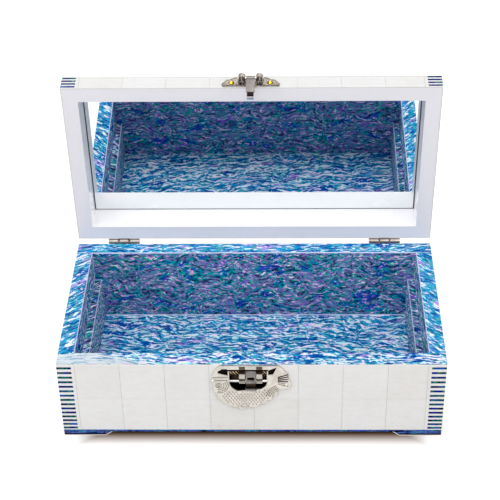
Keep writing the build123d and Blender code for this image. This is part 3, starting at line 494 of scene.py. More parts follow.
SHADE_FLAKES = stops(
    (0.38, 60, 226, 206), (0.44, 206, 206, 240), (0.49, 246, 140, 226), (0.55, 255, 190, 230),
    (0.61, 240, 248, 252), (0.66, 80, 226, 170))
# The crease colours are painted shade on falling slopes, and the glint colour is a painted
# highlight.
CREASE_SHADE_PAINTED = colour(0, 52, 140)
SHADE_CREASE = colour(0, 22, 70)
PAINTED_GLINT = colour(255, 246, 252)

BRIGHT = (HUES, FLAKES, CREASE_SHADE_PAINTED)
WALL = (SHADE_HUES, SHADE_FLAKES, SHADE_CREASE)
SIDE_WALL = (SHADE_HUES, FLAKES, SHADE_CREASE)
print(len(HUES), "bright hues and", len(SHADE_HUES), "shaded ones")

# %% Abalone
SEED_STEP = Vector((71, 37, 53))
# Slopes at which painted shade, and pale flakes with painted highlight, begin.
SHADE_SLOPE_PAINTED = (-0.02, -0.09)
FLAKE_HIGHLIGHT_SLOPE = 0.075
COVER_STEP = 0.035
FLAKE_SOFT = 0.035


def abalone(name, slant, stretch, bend, colours, cover, seed):
    """One piece of blue shell and its colour; a higher cover gives more pale flakes and painted
    highlight.
    """
    hues, flakes, crease = colours
    finish = Finish(name)
    point = finish.vector("ADD", place_on(finish, "box"), SEED_STEP * seed)
    run = layers(finish, point, stretch, bend, slant)
    hue = finish.noise(run, 0.26, 2, 0.5) * 0.72 + finish.noise(run, 1.2, 3, 0.65) * 0.28
    slope = slope_of(finish, run)
    # Painted shade on falling slopes, pale flakes with painted highlight on rising ones, then
    # glints.
    shown = finish.mix(slope.rises(*SHADE_SLOPE_PAINTED) * 0.85, finish.ramp(spread(hue), hues), crease)
    start = FLAKE_HIGHLIGHT_SLOPE - cover * COVER_STEP
    flake_highlight = slope.rises(start, start + FLAKE_SOFT)
    pale = finish.ramp(finish.noise(run, 1.0, 3, 0.7), flakes)
    shown = finish.mix(flake_highlight * 0.95, shown, pale)
    fine = finish.vector("MULTIPLY", run, (0.8, 1.5, 1.5))
    painted_glint = finish.noise(fine, 1.0, 2, 0.6).rises(0.62, 0.68)
    painted_glint = painted_glint * finish.noise(run, 0.2, 1, 0.5).rises(0.46, 0.56)
    shown = finish.mix(painted_glint, shown, PAINTED_GLINT)
    finish.surface(roughness=0.28 - flake_highlight.larger(painted_glint) * 0.08, specular=0.03,
                   coat_weight=0.1, coat_roughness=0.04, coat_ior=1.3)
    return finish, shown


# %% [markdown]
# Pale filler lines run where two pieces of shell meet, and a pale painted highlight lies on the
# sloping inner edge of the rim. These are masks over the same finish: each is 1 on its line and
# 0 elsewhere. At the front left corner the growth rings of one shell show as a pale sweep, which
# is noise along the distance from a point outside the box.


# %% Lines, the rim's inner edge and the sweep of growth rings
LINE = colour(214, 214, 236)
FLOOR_LINE = colour(236, 236, 250)
CORNER_LINE = colour(240, 236, 244)
SWEEP_FROM = (-125.0, -151.7, 0.0)
SWEEP_RADIUS = 88.4
SWEEP_RINGS = stops(
    (0.36, 30, 116, 176), (0.43, 150, 192, 206), (0.5, 242, 244, 250), (0.57, 196, 214, 216),
    (0.64, 230, 204, 240))


def rim_edge_highlight(finish):
    """1 where the rim slopes inwards, told by how far the surface looks up; it gets a painted
    highlight.
    """
    up = apart(finish, finish.node("NewGeometry", {}, {}, "Normal"))[2]
    return up.rises(0.5, 0.6) * up.rises(0.85, 0.8)


def ledge_line(node, x, y, z):
    """1 along the inner and the back edge of a ledge's top."""
    low, high = corners_of(node)
    inner = x.rises(high.x - 0.8, high.x - 0.4)
    if node == "right_ledge":
        inner = x.rises(low.x + 0.8, low.x + 0.4)
    edges = inner.larger(y.rises(high.y - 1.2, high.y - 0.8))
    return edges * z.rises(high.z - 0.6, high.z - 0.3) * 0.8


def sweep(finish, shown):
    """Growth rings round a point in front of the box, up to the sweep's radius."""
    flat = finish.vector("MULTIPLY", place_on(finish, "box"), (1, 1, 0))
    ends = {0: flat, 1: SWEEP_FROM}
    distance = finish.node("VectorMath", {"operation": "DISTANCE"}, ends, "Value")
    along = apart(finish, flat)[0]
    spot = finish.node("CombineXYZ", {}, {0: distance * 0.8, 1: along * 0.05})
    rings = finish.ramp(finish.noise(spot, 1.0, 3, 0.65), SWEEP_RINGS)
    within = distance.rises(SWEEP_RADIUS + 0.6, SWEEP_RADIUS - 0.6)
    return finish.mix(within * 0.92, shown, rings)


# %% Every piece of blue shell: material, slant, stretch, bend, colours, cover and seed
ACROSS = (0.11, 0.42, 0.42)
WALL_RUN = (0.17, 0.42, 0.44)
SHELLS = {
    "rim_front": ("rim_front", 3, ACROSS, 14, BRIGHT, 1.5, 1),
    "rim_back": ("rim_back", -4, ACROSS, 14, BRIGHT, 0.5, 2),
    "rim_left": ("rim_left", -38, ACROSS, 12, BRIGHT, 0.5, 3),
    "rim_right": ("rim_right", 42, ACROSS, 12, BRIGHT, 0.2, 4),
    "floor_lining": ("floor", 4, ACROSS, 18, BRIGHT, 1.3, 5),
    "front_lining": ("front_wall_inside", 0, WALL_RUN, 24, WALL, -0.3, 6),
    "back_lining": ("back_wall_inside", 0, WALL_RUN, 24, WALL, -0.3, 7),
    "left_lining": ("left_wall_inside", 84, WALL_RUN, 16, SIDE_WALL, -0.2, 8),
    "right_lining": ("right_wall_inside", 96, WALL_RUN, 16, SIDE_WALL, -0.2, 9),
    "left_ledge": ("left_ledge", -30, ACROSS, 14, SIDE_WALL, 0.5, 10),
    "right_ledge": ("right_ledge", 30, ACROSS, 14, SIDE_WALL, 0.5, 11),
}
floor_z = corners_of("floor_lining")[1].z
corner_y = corners_of("back_lining")[0].y

finishes = {}
for node, (name, *settings) in SHELLS.items():
    finish, shown = abalone("abalone_" + name, *settings)
    x, y, z = apart(finish, place_on(finish, "box"))
    if node == "rim_front":
        shown = sweep(finish, shown)
    if node.startswith("rim"):
        # A pale painted highlight on the rim's sloping inner edge.
        shown = finish.mix(rim_edge_highlight(finish), shown, LINE)
    elif node == "back_lining":
        shown = finish.mix(z.rises(floor_z + 1.3, floor_z + 0.8), shown, FLOOR_LINE)
    elif node in ("left_lining", "right_lining"):
        shown = finish.mix(y.rises(corner_y - 1.5, corner_y - 1.1), shown, CORNER_LINE)
    elif node.endswith("ledge"):
        shown = finish.mix(ledge_line(node, x, y, z), shown, LINE)
    finish.surface(base_color=shown)
    if node.startswith(("left", "right")):
        finish.surface(coat_weight=0.0, specular=0.0)
    finishes[node] = finish
print(len(finishes), "abalone finishes")

# %% [markdown]
# ## Dark stripes and the base band
#
# The stripes at the corners are narrow strips of the darkest shell. Along one strip the colour
# runs from black to navy, royal blue, teal and violet, and no two strips match. They could be
# painted one by one, but slow noise through a ramp of those colours gives as much variety, as
# it changes from strip to strip. The band round the base and the feet are the same dark shell,
# with a brighter upper edge and a black line. A pale painted highlight runs along the bottom of
# the feet and climbs the slope of each toe.


# %% Dark shell of the stripes
STRIPE_SHADES = stops(
    (0.20, 60, 20, 180), (0.28, 0, 0, 4), (0.38, 0, 0, 24), (0.43, 0, 30, 220), (0.46, 0, 0, 10),
    (0.54, 0, 0, 2), (0.57, 0, 180, 200), (0.59, 0, 160, 100), (0.62, 0, 0, 10),
    (0.70, 0, 4, 40), (0.76, 0, 90, 210))


def dark_polish(finish, shown):
    """The thin hard polish that all the dark shell has."""
    return finish.surface(base_color=shown, roughness=0.3, specular=0.03,
                          coat_weight=0.06, coat_roughness=0.06, coat_ior=1.25)


def dark_shell(body):
    """The finish of the corner stripes."""
    finish = Finish(f"dark_shell_{body}")
    run = finish.vector("MULTIPLY", place_on(finish, body), (0.13, 0.13, 0.3))
    field = finish.noise(run, 1.0, 2, 0.6)
    return dark_polish(finish, finish.ramp(spread(field), STRIPE_SHADES))


# %% Shell of the base band and the feet
BASE_TOP = corners_of("base_band")[1].z
FOOT_TIP = [abs(v) for v in corners_of("foot_front_left")[1]]
print("base band up to", round(BASE_TOP, 2), "mm")
TOE_RUN, TOE_HIGH = 5.6, 4.0
BLACK_LINE = colour(4, 4, 12)
LOW_EDGE_HIGHLIGHT = colour(240, 232, 224)
BAND_SHADES = stops(
    (0.30, 0, 4, 24), (0.36, 30, 90, 200), (0.40, 110, 140, 220), (0.43, 4, 4, 14),
    (0.47, 4, 4, 14), (0.50, 100, 126, 226), (0.53, 70, 30, 40), (0.56, 4, 4, 14),
    (0.59, 120, 146, 230), (0.62, 6, 10, 24), (0.66, 0, 190, 210), (0.72, 70, 60, 170))
BAND_TOP_SHADES = stops(
    (0.38, 20, 110, 240), (0.43, 2, 6, 20), (0.47, 60, 150, 255), (0.50, 60, 30, 40),
    (0.53, 20, 80, 200), (0.56, 0, 220, 220), (0.60, 4, 10, 30), (0.66, 40, 100, 230))


def base_shell(part):
    """Shell for the band or for the feet; on a foot the pale painted highlight climbs the toe's
    slope.
    """
    finish = Finish(f"base_shell_{part}")
    point = place_on(finish, "box")
    x, y, z = apart(finish, point)
    run = finish.vector("MULTIPLY", point, (0.07, 0.07, 0.3))
    shown = finish.ramp(spread(finish.noise(run, 1.2, 3, 0.65)), BAND_SHADES)
    top = finish.ramp(finish.noise(run, 0.9, 2, 0.7), BAND_TOP_SHADES)
    shown = finish.mix(z.rises(BASE_TOP - 0.9, BASE_TOP - 0.5) * 0.9, shown, top)
    shown = finish.mix(z.rises(2.3, 1.7), shown, BLACK_LINE)
    # A pale painted highlight along the lowest edge; on a foot it also climbs the toe below.
    shown = finish.mix(z.rises(0.8, 0.5), shown, LOW_EDGE_HIGHLIGHT)
    if part == "foot":
        for across, tip in zip((x, y), FOOT_TIP):
            slope = (1 - (abs(across) - tip) / TOE_RUN) * TOE_HIGH
            shown = finish.mix((z - slope).rises(0.9, 0.6), shown, LOW_EDGE_HIGHLIGHT)
    return dark_polish(finish, shown)


# %% [markdown]
# ## Lacquer, wood and mirror
#
# The inside of the lid is sprayed in a cool white, rubbed down and polished. Sprayed lacquer is
# never quite flat, so a slow wave bends its reflections. A bump is enough for that, because the
# wave is far too shallow to show in the outline. The boards behind the shell are pale wood and
# only show in the joints. The mirror is silvered glass. A sheet of real glass over silver would
# take many more rays for the same picture, so it is a metal shader that is almost perfectly
# smooth, with a dark line round it, where the silver stops short of the edge.


# %% Lacquer
FRAME_Z = 73.3
FRAME_WHITE = colour(240, 238, 244)
RECESS_PAINTED_LIGHT = colour(246, 245, 247)
CLOUD = colour(190, 190, 200)


def lacquer():
    """White lacquer; the recess is painted a little brighter than the flat face of the frame, as
    light.
    """
    finish = Finish("white_lacquer")
    point = place_on(finish, "lid")
    z = apart(finish, point)[2]
    cloud = finish.noise(point, 0.02, 2, 0.5)
    peel = finish.noise(point, 0.25, 2, 0.5)
    # Painted light: the recess is a brighter white than the frame's flat face.
    shown = finish.mix(z.rises(FRAME_Z + 0.2, FRAME_Z + 0.6), FRAME_WHITE, RECESS_PAINTED_LIGHT)
    shown = finish.mix(cloud.rises(0.35, 0.65) * 0.04, shown, CLOUD)
    bump = finish.node("Bump", {}, {"Strength": 0.05, "Distance": 0.0004, "Height": peel})
    return finish.surface(base_color=shown, roughness=0.3 - cloud * 0.08, specular=0.4,
                          coat_weight=0.35, coat_roughness=0.05, coat_ior=1.45, normal=bump)


# %% Pale wood behind the shell
WOOD_PALE = colour(250, 248, 243)
WOOD_DARK = colour(240, 236, 229)


def board_wood():
    """Wood with its grain and its pores drawn out along x."""
    finish = Finish("filler_on_board")
    point = place_on(finish, "box")
    grain = finish.noise(finish.vector("MULTIPLY", point, (0.03, 0.6, 0.6)), 1.0, 5, 0.6)
    pores = finish.noise(finish.vector("MULTIPLY", point, (0.2, 3.0, 3.0)), 1.0, 2, 0.5)
    shown = finish.mix(grain.rises(0.35, 0.65), WOOD_DARK, WOOD_PALE)
    shown = finish.mix(pores.rises(0.62, 0.72) * 0.3, shown, WOOD_DARK)
    return finish.surface(base_color=shown, roughness=0.55 + grain * 0.15, specular=0.3)


# %% Mirror
MIRROR_HALF_X = (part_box("mirror")[1].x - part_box("mirror")[0].x) / 2 / MM
MIRROR_HALF_Y = 62.3
print("mirror", round(2 * MIRROR_HALF_X, 1), "mm wide")
SILVER = colour(236, 241, 243)
SILVER_PALE = colour(241, 244, 246)
SILVER_END = colour(70, 78, 92)


def silvered_glass():
    """The mirror, with the dark line where its silver ends."""
    finish = Finish("silvered_glass")
    point = place_on(finish, "lid")
    x, y, z = apart(finish, point)
    edge = abs(x).rises(MIRROR_HALF_X - 0.9, MIRROR_HALF_X - 0.6)
    edge = edge.larger(abs(y).rises(MIRROR_HALF_Y - 0.7, MIRROR_HALF_Y - 0.5))
    haze = finish.noise(point, 0.02, 3, 0.6)
    shown = finish.mix(haze.rises(0.3, 0.7), SILVER, SILVER_PALE)
    return finish.surface(base_color=finish.mix(edge, shown, SILVER_END), metallic=1.0,
                          roughness=edge * 0.35 + haze.rises(0.5, 0.9) * 0.012)


# %% [markdown]
# ## Metals
#
# The clasp is pressed from thin sheet and nickel plated. Plating wears on what stands out and
# goes dull and brown in the hollows, and the press leaves a fine grain. The hinges are duller,
# and the pins are brass. One recipe makes them all: two colours, stained by slow noise and
# specked by fine noise, and the fine noise is the bump as well. What is special to a piece is a
# small function that says where its marks are. Most marks are painted shade and painted
# reflections, and on the hinges the gaps are simply darker.


# %% Metal
TARNISH_AND_SHADE = colour(52, 40, 36)


def metal(name, body, bright, dull, rough, grain_size=1.4, grain_depth=0.06, speck=0.35,
          marks=None, mark_colour=TARNISH_AND_SHADE):
    """Plated metal; marks tells from x, y and z, in millimetres, where the mark colour shows."""
    finish = Finish(name)
    point = place_on(finish, body)
    stain = finish.noise(point, 0.12, 4, 0.65)
    grain = finish.noise(point, grain_size, 3, 0.7)
    shown = finish.mix(stain.rises(0.35, 0.65) * 0.5, bright, dull)
    shown = finish.mix(grain.rises(0.5, 0.62) * speck, shown, dull)
    if marks:
        if callable(mark_colour):
            mark_colour = mark_colour(finish, point)
        shown = finish.mix(marks(*apart(finish, point)), shown, mark_colour)
    bump = finish.node("Bump", {}, {"Strength": 0.5, "Distance": grain_depth * MM,
                                    "Height": grain})
    return finish.surface(base_color=shown, metallic=1.0, normal=bump,
                          roughness=rough + (stain - 0.5) * 0.2)


# %% Marks on the catch, the pan behind it and the hinges
ROD_MM = ROD_Z / MM
HINGE_X = 107.5
KNUCKLE_END = 4.2
BARREL_Y = 76.2


def nose_underside_reflection(x, y, z):
    """The face below the nose of the catch, which gets a painted dark reflection."""
    return z.rises(ROD_MM - 5.4, ROD_MM - 4.9) * z.rises(ROD_MM - 1.0, ROD_MM - 1.5)


def pan_glints(x, y, z):
    """Slanting bands of painted reflection in the upper half of the pan."""
    run = (x + z * 0.75) * 0.43
    run = run - run.floor()
    upper = z.rises(ROD_MM + 1.5, ROD_MM + 2.5)
    return run.rises(0.5, 0.66) * run.rises(1.0, 0.86) * upper


def between_knuckles(x, y, z):
    """Darker colour in the gaps of the three knuckles of each hinge."""
    from_gap = abs(abs(abs(x) - HINGE_X) - KNUCKLE_END)
    return from_gap.rises(0.9, 0.5) * y.rises(BARREL_Y, BARREL_Y + 0.4)


# %% Marks on the arm, the ears and the lid's plate
CLASP_MM = CLASP_X / MM
HOOK_TOP, HOOK_FRONT, HOOK_DEEP = 61.8, -80.1, 4.8
EAR_X, EAR_FRONT = 6.4, -76.4
RIB_X, RIB_TOP, RIB_FRONT = 6.75, 80.2, -75.9
HOOK_REFLECTION_STOPS = stops(
    (0.0, 52, 40, 36), (0.38, 34, 26, 26), (0.46, 14, 22, 60), (0.52, 14, 22, 60),
    (0.57, 236, 224, 216), (0.68, 190, 188, 180), (0.76, 96, 126, 160), (1.0, 150, 172, 200))


def hook_bend(x, y, z):
    """The lower end of the arm, which hooks behind the nose."""
    return z.rises(HOOK_TOP, HOOK_TOP - 0.6) * y.rises(HOOK_FRONT, HOOK_FRONT + 0.4)


def painted_hook_reflections(finish, point):
    """Painted reflections round the bend: brown, navy, one bright flash, and pale blue at the end.
    """
    y = apart(finish, point)[1]
    return finish.ramp((y - HOOK_FRONT) / HOOK_DEEP, HOOK_REFLECTION_STOPS)


def ear_dark_reflections(x, y, z):
    """Painted dark reflections on the ears: brown where they leave the plate, dark where they curl
    in.
    """
    drop = RIM_MM - z
    root = drop.rises(4.4, 4.8) * drop.rises(8.4, 7.8)
    curl = drop.rises(12.3, 12.8) * drop.rises(15.0, 14.5)
    on_ear = abs(abs(x - CLASP_MM) - EAR_X).rises(2.7, 2.5)
    return on_ear * y.rises(EAR_FRONT, EAR_FRONT - 0.4) * (root + curl + 0.3)


def rib_mouth_shade(x, y, z):
    """The mouths of the two ribs are painted black as shade, broken by slanting painted highlights.
    """
    off = abs(x - CLASP_MM) - RIB_X
    streak = off * 0.34 + y * 0.3
    streak = streak - streak.floor()
    light = streak.rises(0.66, 0.76) * streak.rises(1.0, 0.92) * 0.85
    mouth = abs(off).rises(2.5, 2.2) * z.rises(RIB_TOP, RIB_TOP - 0.7)
    return mouth * y.rises(RIB_FRONT, RIB_FRONT - 0.4) * (1 - light)


# %% All metals
HOLLOW = colour(104, 92, 80)
HOLLOW_DARK = colour(52, 42, 36)

# Painted dark reflections on the ears, and a little over each whole ear.
nickel = metal("nickel_box", "box", colour(206, 202, 196), colour(168, 162, 153), 0.28,
               marks=ear_dark_reflections)
# The rib mouths are painted black as shade, with painted highlights.
nickel_lid = metal("nickel_lid", "lid", colour(174, 166, 156), colour(78, 68, 60), 0.36,
                   grain_size=1.5, grain_depth=0.2, speck=0.95, marks=rib_mouth_shade)
# Painted reflections round the bend of the arm's hook.
arm_metal = metal("nickel_arm", "hasp_arm", colour(156, 151, 148), colour(112, 106, 104), 0.5,
                  grain_size=1.1, grain_depth=0.16, speck=0.6,
                  marks=hook_bend, mark_colour=painted_hook_reflections)
# Painted dark reflection on the face below the catch's nose.
catch_metal = metal("nickel_catch", "catch", colour(150, 145, 142), colour(88, 82, 82), 0.3,
                    grain_size=1.2, grain_depth=0.12, speck=0.6, marks=nose_underside_reflection)
# The pan is painted near black as painted shade deep behind the window.
pan_metal = metal("nickel_pan", "box", colour(52, 40, 32), colour(10, 8, 7), 0.25,
                  grain_size=0.5, grain_depth=0.3, speck=0.8,
                  marks=pan_glints, mark_colour=colour(206, 182, 150))
hinge_metal = metal("hinge_plate", "box", colour(186, 176, 170), colour(128, 114, 102), 0.42,
                    grain_size=0.9, marks=between_knuckles)
steel = metal("bright_steel", "box", colour(224, 222, 220), colour(190, 188, 186), 0.18,
              grain_size=2.0, grain_depth=0.02)
brass = metal("pin_brass", "lid", colour(255, 214, 50), colour(200, 150, 30), 0.3,
              grain_size=1.5, grain_depth=0.03)
# Brown for patina and painted shade in the pressed lines, and on the bends of the ears.
patina_and_shade_box = metal("patina_and_shade_box", "box", HOLLOW, HOLLOW_DARK, 0.45)
patina_lid = metal("patina_lid", "lid", HOLLOW_DARK, colour(20, 16, 14), 0.45)
# Near black: painted shade in the hollows and under the fold, and the colour of the black tail
# rays.
black_hollow = metal("hollow_black", "box", colour(20, 15, 12), colour(6, 5, 5), 0.5)
print(len(bpy.data.materials), "materials so far")

# %% [markdown]
# ## Dressing the CAD pieces
#
# Each CAD piece keeps its shape and gets its finish. A table from the names of the pieces to
# their finish is easier to check than fifty single lines. A star stands for any letters, and the
# first row that fits a name counts.

# %% Which finish each CAD piece wears
white = lacquer()
WEARS = [
    ("lid_rail_*", white), ("lid_panel", white), ("lid_corner_stripes", dark_shell("lid")),
    ("lid_*", pearl("lid", dim=0.19)), ("*_facing", pearl("box")),
    ("corner_stripes_*", dark_shell("box")), ("*_wall", board_wood()),
    ("foot_*", base_shell("foot")), ("base_*", base_shell("band")),
    ("mirror", silvered_glass()), ("hinge_*", hinge_metal), ("hasp_pins", brass),
    ("hasp_axle", steel), ("catch_rod", steel), ("catch_spring", steel),
    ("hasp_plate", nickel_lid), ("hasp_arm", arm_metal), ("catch_lever", catch_metal),
    ("catch_box", pan_metal), ("fish_*", nickel),
]

for node, piece in frame["nodes"].items():
    if node not in finishes:
        finishes[node] = next(finish for names, finish in WEARS if fnmatch(node, names))
    piece.data.materials.clear()
    piece.data.materials.append(finishes[node].material)
print("dressed", len(finishes), "CAD pieces")

# %% [markdown]
# ## Relief on the clasp
#
# The real plates are pressed in a die, which leaves lines, scales and a raised edge. A bump would
# only pretend to have them, so the relief is laid on as thin round wires, half sunk in the plate.
# Blender makes such a wire from a curve with a bevel, and one curve object can hold many
# separate wires.


def add_piece(name, mesh, body, finish):
    """A new piece of the clasp, which rides on a body of the CAD model."""
    mesh.materials.clear()
    mesh.materials.append(finish.material)
    piece = bpy.data.objects.new(name, mesh)
    bpy.context.scene.collection.objects.link(piece)
    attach(piece, body)
    print(name, len(mesh.polygons), "faces")
    return piece


def wires(name, lines, radius, body, finish, closed=False):
    """One piece made of round wires; each line is a list of points in metres."""
    curve = bpy.data.curves.new(name, "CURVE")
    curve.dimensions = "3D"
    curve.bevel_depth = radius * MM
    curve.bevel_resolution = 1
    curve.use_fill_caps = True
    for line in lines:
        spline = curve.splines.new("POLY")
        spline.points.add(len(line) - 1)
        for place, point in zip(spline.points, line):
            place.co = (*point, 1)
        spline.use_cyclic_u = closed
    wire = bpy.data.objects.new(name, curve)
    bpy.context.scene.collection.objects.link(wire)
    graph = bpy.context.evaluated_depsgraph_get()
    mesh = bpy.data.meshes.new_from_object(wire.evaluated_get(graph))
    bpy.data.objects.remove(wire)
    mesh.name = name
    for face in mesh.polygons:
        face.use_smooth = True
    return add_piece(name, mesh, body, finish)


# %% [markdown]
# The raised edge has to follow the plate's outline, and the CAD piece already has it. The edges
# that have the flat front on one side only are the outline. Chained end to end they give closed
# loops, which are then moved a little into the plate.


# %% The outlines of a flat front
SAME_LEVEL = 0.05 * MM


def front_loops(node, facing, level):
    """Closed loops round the flat faces that look along facing, at that level."""
    mesh = frame["nodes"][node].data
    places = {}

    def place(index):
        """Corners that lie on each other count as one, so that neighbours share their edges."""
        spot = mesh.vertices[index].co
        return tuple(places.setdefault(tuple(round(v / MM, 3) for v in spot), spot.copy()))

    sides = {}
    for face in mesh.polygons:
        off = abs(face.center.dot(facing) - level)
        if face.normal.dot(facing) > 0.99 and off < SAME_LEVEL:
            corners = [place(i) for i in face.vertices]
            sides.update(dict.fromkeys(zip(corners, corners[1:] + corners[:1])))
    border = {start: end for start, end in sides if (end, start) not in sides}
    loops = []
    while border:
        start, step = border.popitem()
        loop = [start]
        while step != start and step in border:
            loop.append(step)
            step = border.pop(step)
        if len(loop) > 2:
            loops.append([Vector(v) for v in loop])
    return loops


def drawn_in(loop, facing, by):
    """The loop moved by so much into the plate, which lies on its left, seen from outside."""
    spots = []
    count = len(loop)
    for i in range(count):
        before = (loop[i] - loop[i - 1]).normalized()
        after = (loop[(i + 1) % count] - loop[i]).normalized()
        inwards = facing.cross(before) + facing.cross(after)
        spots.append(loop[i] + inwards.normalized() * by if inwards.length > 0.2 else loop[i])
    return spots


# %% Raised edge of the fish plate
FORWARD = Vector((0, -1, 0))
PLATE_THICK = 1.2 * MM
FISH_Y = FACE_Y - PLATE_THICK
EDGE_IN = 0.45 * MM
SMALL_FLAT = 12  # loops with no more points than this get no wire

fish_loops = front_loops("fish_plate", FORWARD, -FISH_Y)
print("loops on the fish plate:", sorted(len(loop) for loop in fish_loops))
edges = [drawn_in(loop, FORWARD, EDGE_IN) for loop in fish_loops if len(loop) > SMALL_FLAT]
wires("fish_edge", edges, 0.3, "box", nickel, closed=True)


# %% [markdown]
# The lines in the plate are given as on a drawing: x from the middle of the clasp and a drop from
# the rim. Cheek, gill, brow and tail are arcs and fans; the scales are short arcs in rows, shifted
# by half a scale from row to row, wherever they fall inside the body of the fish. The pressed lines
# are brown, partly from dirt in them and partly as painted shade in their grooves, so they get the
# brown finish.


# %% Points and arcs on the fish plate
def on_fish(x, drop, proud=0.0):
    """A point on the front of the plate, or proud of it."""
    return Vector((CLASP_X + x * MM, FISH_Y - proud * MM, RIM_Z - drop * MM))


def fish_arc(x, drop, radius, start, end, steps):
    """An arc; 0 degrees is to the right and 90 degrees is down."""
    turns = [radians(start + (end - start) * i / steps) for i in range(steps + 1)]
    return [on_fish(x + radius * cos(t), drop + radius * sin(t)) for t in turns]


def inside(x, drop, outline):
    """True if the point lies inside the closed outline."""
    crossings = 0
    for (x0, y0), (x1, y1) in zip(outline, outline[1:] + outline[:1]):
        if (y0 > drop) != (y1 > drop) and x < x0 + (drop - y0) / (y1 - y0) * (x1 - x0):
            crossings += 1
    return crossings % 2 == 1


# %% Scales
SCALED = [(-18.5, 28.5), (-14.5, 25.6), (-9.6, 27.6), (7.6, 25.8), (12.5, 23.5), (14.0, 26.5),
          (15.0, 31.5), (12.0, 34.8), (8.0, 37.5), (3.5, 40.6), (-2.0, 41.5), (-10.0, 42.4),
          (-16.0, 39.5), (-21.0, 34.9), (-23.8, 31.0)]
SCALE_ROWS, SCALE_COLUMNS = 10, 18
FIRST_X, FIRST_DROP = -24, 23.5
SCALE_WIDE, SCALE_HIGH = 2.5, 2.0
SCALE_RADIUS = 1.6
ARC_X, ARC_DROP = -0.9, 0.6
ARC_FROM, ARC_TO = -56, -16

scales = []
for row in range(SCALE_ROWS):
    for column in range(SCALE_COLUMNS):
        x = FIRST_X + (column + row % 2 / 2) * SCALE_WIDE
        drop = FIRST_DROP + row * SCALE_HIGH
        if inside(x, drop, SCALED):
            centre = (x + ARC_X, drop + ARC_DROP)
            scales.append(fish_arc(*centre, SCALE_RADIUS, ARC_FROM, ARC_TO, 2))
print(len(scales), "scales")
wires("fish_scales", scales, 0.3, "box", patina_and_shade_box)

# %% Eye, cheek, gill and brow
EYE = (-24.0, 20.7)
BEND_X = -23


def bent_line(start, end, drop):
    """A level line that turns down a little towards the mouth."""
    return [on_fish(start, drop + 0.5), on_fish(BEND_X, drop), on_fish(end, drop)]


face_lines = [fish_arc(*EYE, radius, 0, 345, 16) for radius in (0.9, 2.2)]
face_lines += [fish_arc(*EYE, radius, -38, 100, 12) for radius in (3.9, 5.6, 7.2)]
face_lines += [bent_line(-28.6, -17.2, drop) for drop in (12.4, 15.6)]
wires("fish_face_lines", face_lines, 0.24, "box", patina_and_shade_box)
brow = [bent_line(-28.4, -17.0, drop) for drop in (10.9, 14.0)]
wires("fish_brow", brow, 0.4, "box", nickel)

# %% Tail rays and the hatched root of the tail
TAIL_RAYS, BLACK_RAYS = 6, 4
TAIL_POINTS = ((20.2, 12.5, 1.3), (24.5, 11.0, 1.9), (28.0, 9.6, 2.4))
ROOT = (25.5, 33.0)
HATCHES, HATCH_RADIUS, HATCH_STEP = 4, 9.5, 1.5

tail = [[on_fish(x, drop + step * i) for x, drop, step in TAIL_POINTS]
        for i in range(TAIL_RAYS)]
wires("fish_tail_rays", tail[:BLACK_RAYS], 0.42, "box", black_hollow)
hatch = [fish_arc(*ROOT, HATCH_RADIUS + HATCH_STEP * i, -172, -118, 6) for i in range(HATCHES)]
wires("fish_tail_root", tail[BLACK_RAYS:] + hatch, 0.24, "box", patina_and_shade_box)

# %% [markdown]
# Two deep hollows beside the window lie in shade. The CAD piece has the hollows, so a thin black
# sheet is laid on the floor of each one, in its own outline, as painted shade.

# %% Black floors of the two hollows
HOLLOW_Y = FACE_Y - PLATE_THICK / 3
SHEET = 0.08 * MM


def sheet_in(name, loops, facing, body, finish):
    """Closed thin sheets in the outlines of some loops."""
    spots, faces = [], []
    for loop in loops:
        first, count = len(spots), len(loop)
        back = [first + i for i in range(count)]
        front = [corner + count for corner in back]
        spots += loop + [spot + facing * SHEET for spot in loop]
        faces += [front, back[::-1]]
        faces += [(back[i - 1], back[i], front[i], front[i - 1]) for i in range(count)]
    mesh = bpy.data.meshes.new(name)
    mesh.from_pydata(spots, [], faces)
    return add_piece(name, mesh, body, finish)


hollows = front_loops("fish_plate", FORWARD, -HOLLOW_Y)
sheet_in("fish_hollows", hollows, FORWARD, "box", black_hollow)

# %% [markdown]
# Along the top the plate is folded to a band, and the ears start from it. The band is a strip
# with rounded edges, because light catches on a rounded edge as it does on folded sheet. Below it
# the black wire is a painted shadow under the fold, and the brown strips on the bends of the ears
# are painted dark reflections.


# %% Top band, the painted shadow under its fold and the painted dark reflections on the ears
FOLD_DROP = 5.4
EAR_HALF = 2.2
ROUNDED = 0.45


def strip(name, across, drops, proud, finish):
    """A flat strip on the fish plate with rounded edges."""
    low, high = on_fish(across[0], drops[1], proud), on_fish(across[1], drops[0])
    middle, size = (low + high) / 2, high - low
    mesh = bpy.data.meshes.new(name)
    made = bmesh.new()
    bmesh.ops.create_cube(made, size=1.0)
    for corner in made.verts:
        corner.co = Vector(corner.co[i] * size[i] + middle[i] for i in range(3))
    bmesh.ops.bevel(made, geom=made.edges[:], offset=proud * MM * ROUNDED, segments=2,
                    affect="EDGES", profile=0.5)
    made.to_mesh(mesh)
    made.free()
    return add_piece(name, mesh, "box", finish)


strip("fish_top_band", (-17.5, 13.5), (1.3, 4.7), 0.5, nickel)
# A black wire of painted shadow under the fold of the band.
fold = [on_fish(-17.0, FOLD_DROP, 0.2), on_fish(13.0, FOLD_DROP, 0.2)]
wires("fish_top_fold_shadow", [fold], 0.75, "box", black_hollow)
# The bends of the ears are brown strips of painted dark reflection.
for word, middle in (("left", -EAR_X), ("right", EAR_X)):
    across = (middle - EAR_HALF, middle + EAR_HALF)
    strip(f"ear_bend_{word}", across, (1.6, 4.6), 0.9, patina_and_shade_box)

# %% [markdown]
# The nose of the catch is ribbed, so that the thumb holds it. The ribs ride on the catch.

# %% Ribs on the catch
NOSE_FROM = 5 * MM
NOSE_HALF = 3.3 * MM
RIBS = 5
FIRST_RIB = 5.6

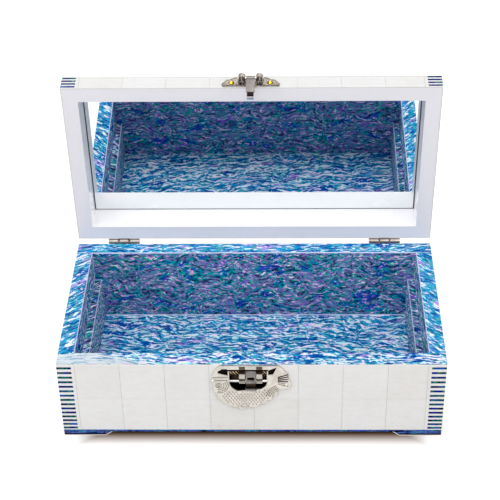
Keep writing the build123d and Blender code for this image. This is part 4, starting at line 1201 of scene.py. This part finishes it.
nose_y = min(p.center.y for p in frame["nodes"]["catch_lever"].data.polygons
             if p.center.z > ROD_Z + NOSE_FROM)
ribs = []
for step in range(RIBS):
    z = ROD_Z + (FIRST_RIB + step) * MM
    ribs.append([Vector((CLASP_X + side * NOSE_HALF, nose_y, z)) for side in (-1, 1)])
wires("catch_ribs", ribs, 0.26, "catch", catch_metal)

# %% [markdown]
# The plate on the lid has the same kind of raised edge, and its brass pins sit in dark rings.
# Its outline comes from the CAD piece too, this time along the direction that the open lid's
# front edge looks in. The largest face that looks that way tells the level of its front.


# %% Raised edge and rings on the lid's plate
OUTWARDS = Matrix.Rotation(-LID_ANGLE, 3, "X") @ FORWARD
HOLE_REACH = 1.2 * MM
RING_STEPS = 20


def middle_of(loop):
    """The mean of the points of a loop."""
    return sum(loop, Vector()) / len(loop)


def rings(loops, facing, radius):
    """Circles round the middles of those loops that are small enough to be pin holes."""
    turns = [2 * pi * i / RING_STEPS for i in range(RING_STEPS)]
    across = Vector((1, 0, 0))
    along = facing.cross(across)
    circle = [(across * cos(t) + along * sin(t)) * radius * MM for t in turns]
    middles = [middle_of(loop) for loop in loops
               if max((spot - middle_of(loop)).length for spot in loop) < HOLE_REACH]
    return [[middle + spot for spot in circle] for middle in middles]


looks_out = [p for p in frame["nodes"]["hasp_plate"].data.polygons if p.normal.dot(OUTWARDS) > 0.99]
hasp_front = max(looks_out, key=lambda face: face.area).center.dot(OUTWARDS)
hasp_loops = front_loops("hasp_plate", OUTWARDS, hasp_front)
print("loops on the lid's plate:", sorted(len(loop) for loop in hasp_loops))
edges = [drawn_in(loop, OUTWARDS, EDGE_IN) for loop in hasp_loops if len(loop) > SMALL_FLAT]
wires("hasp_edge", edges, 0.28, "lid", nickel_lid, closed=True)
wires("hasp_pin_rings", rings(hasp_loops, OUTWARDS, 2.0), 0.3, "lid", patina_lid, closed=True)
wires("fish_pin_rings", rings(fish_loops, FORWARD, 1.3), 0.25, "box", patina_and_shade_box, closed=True)
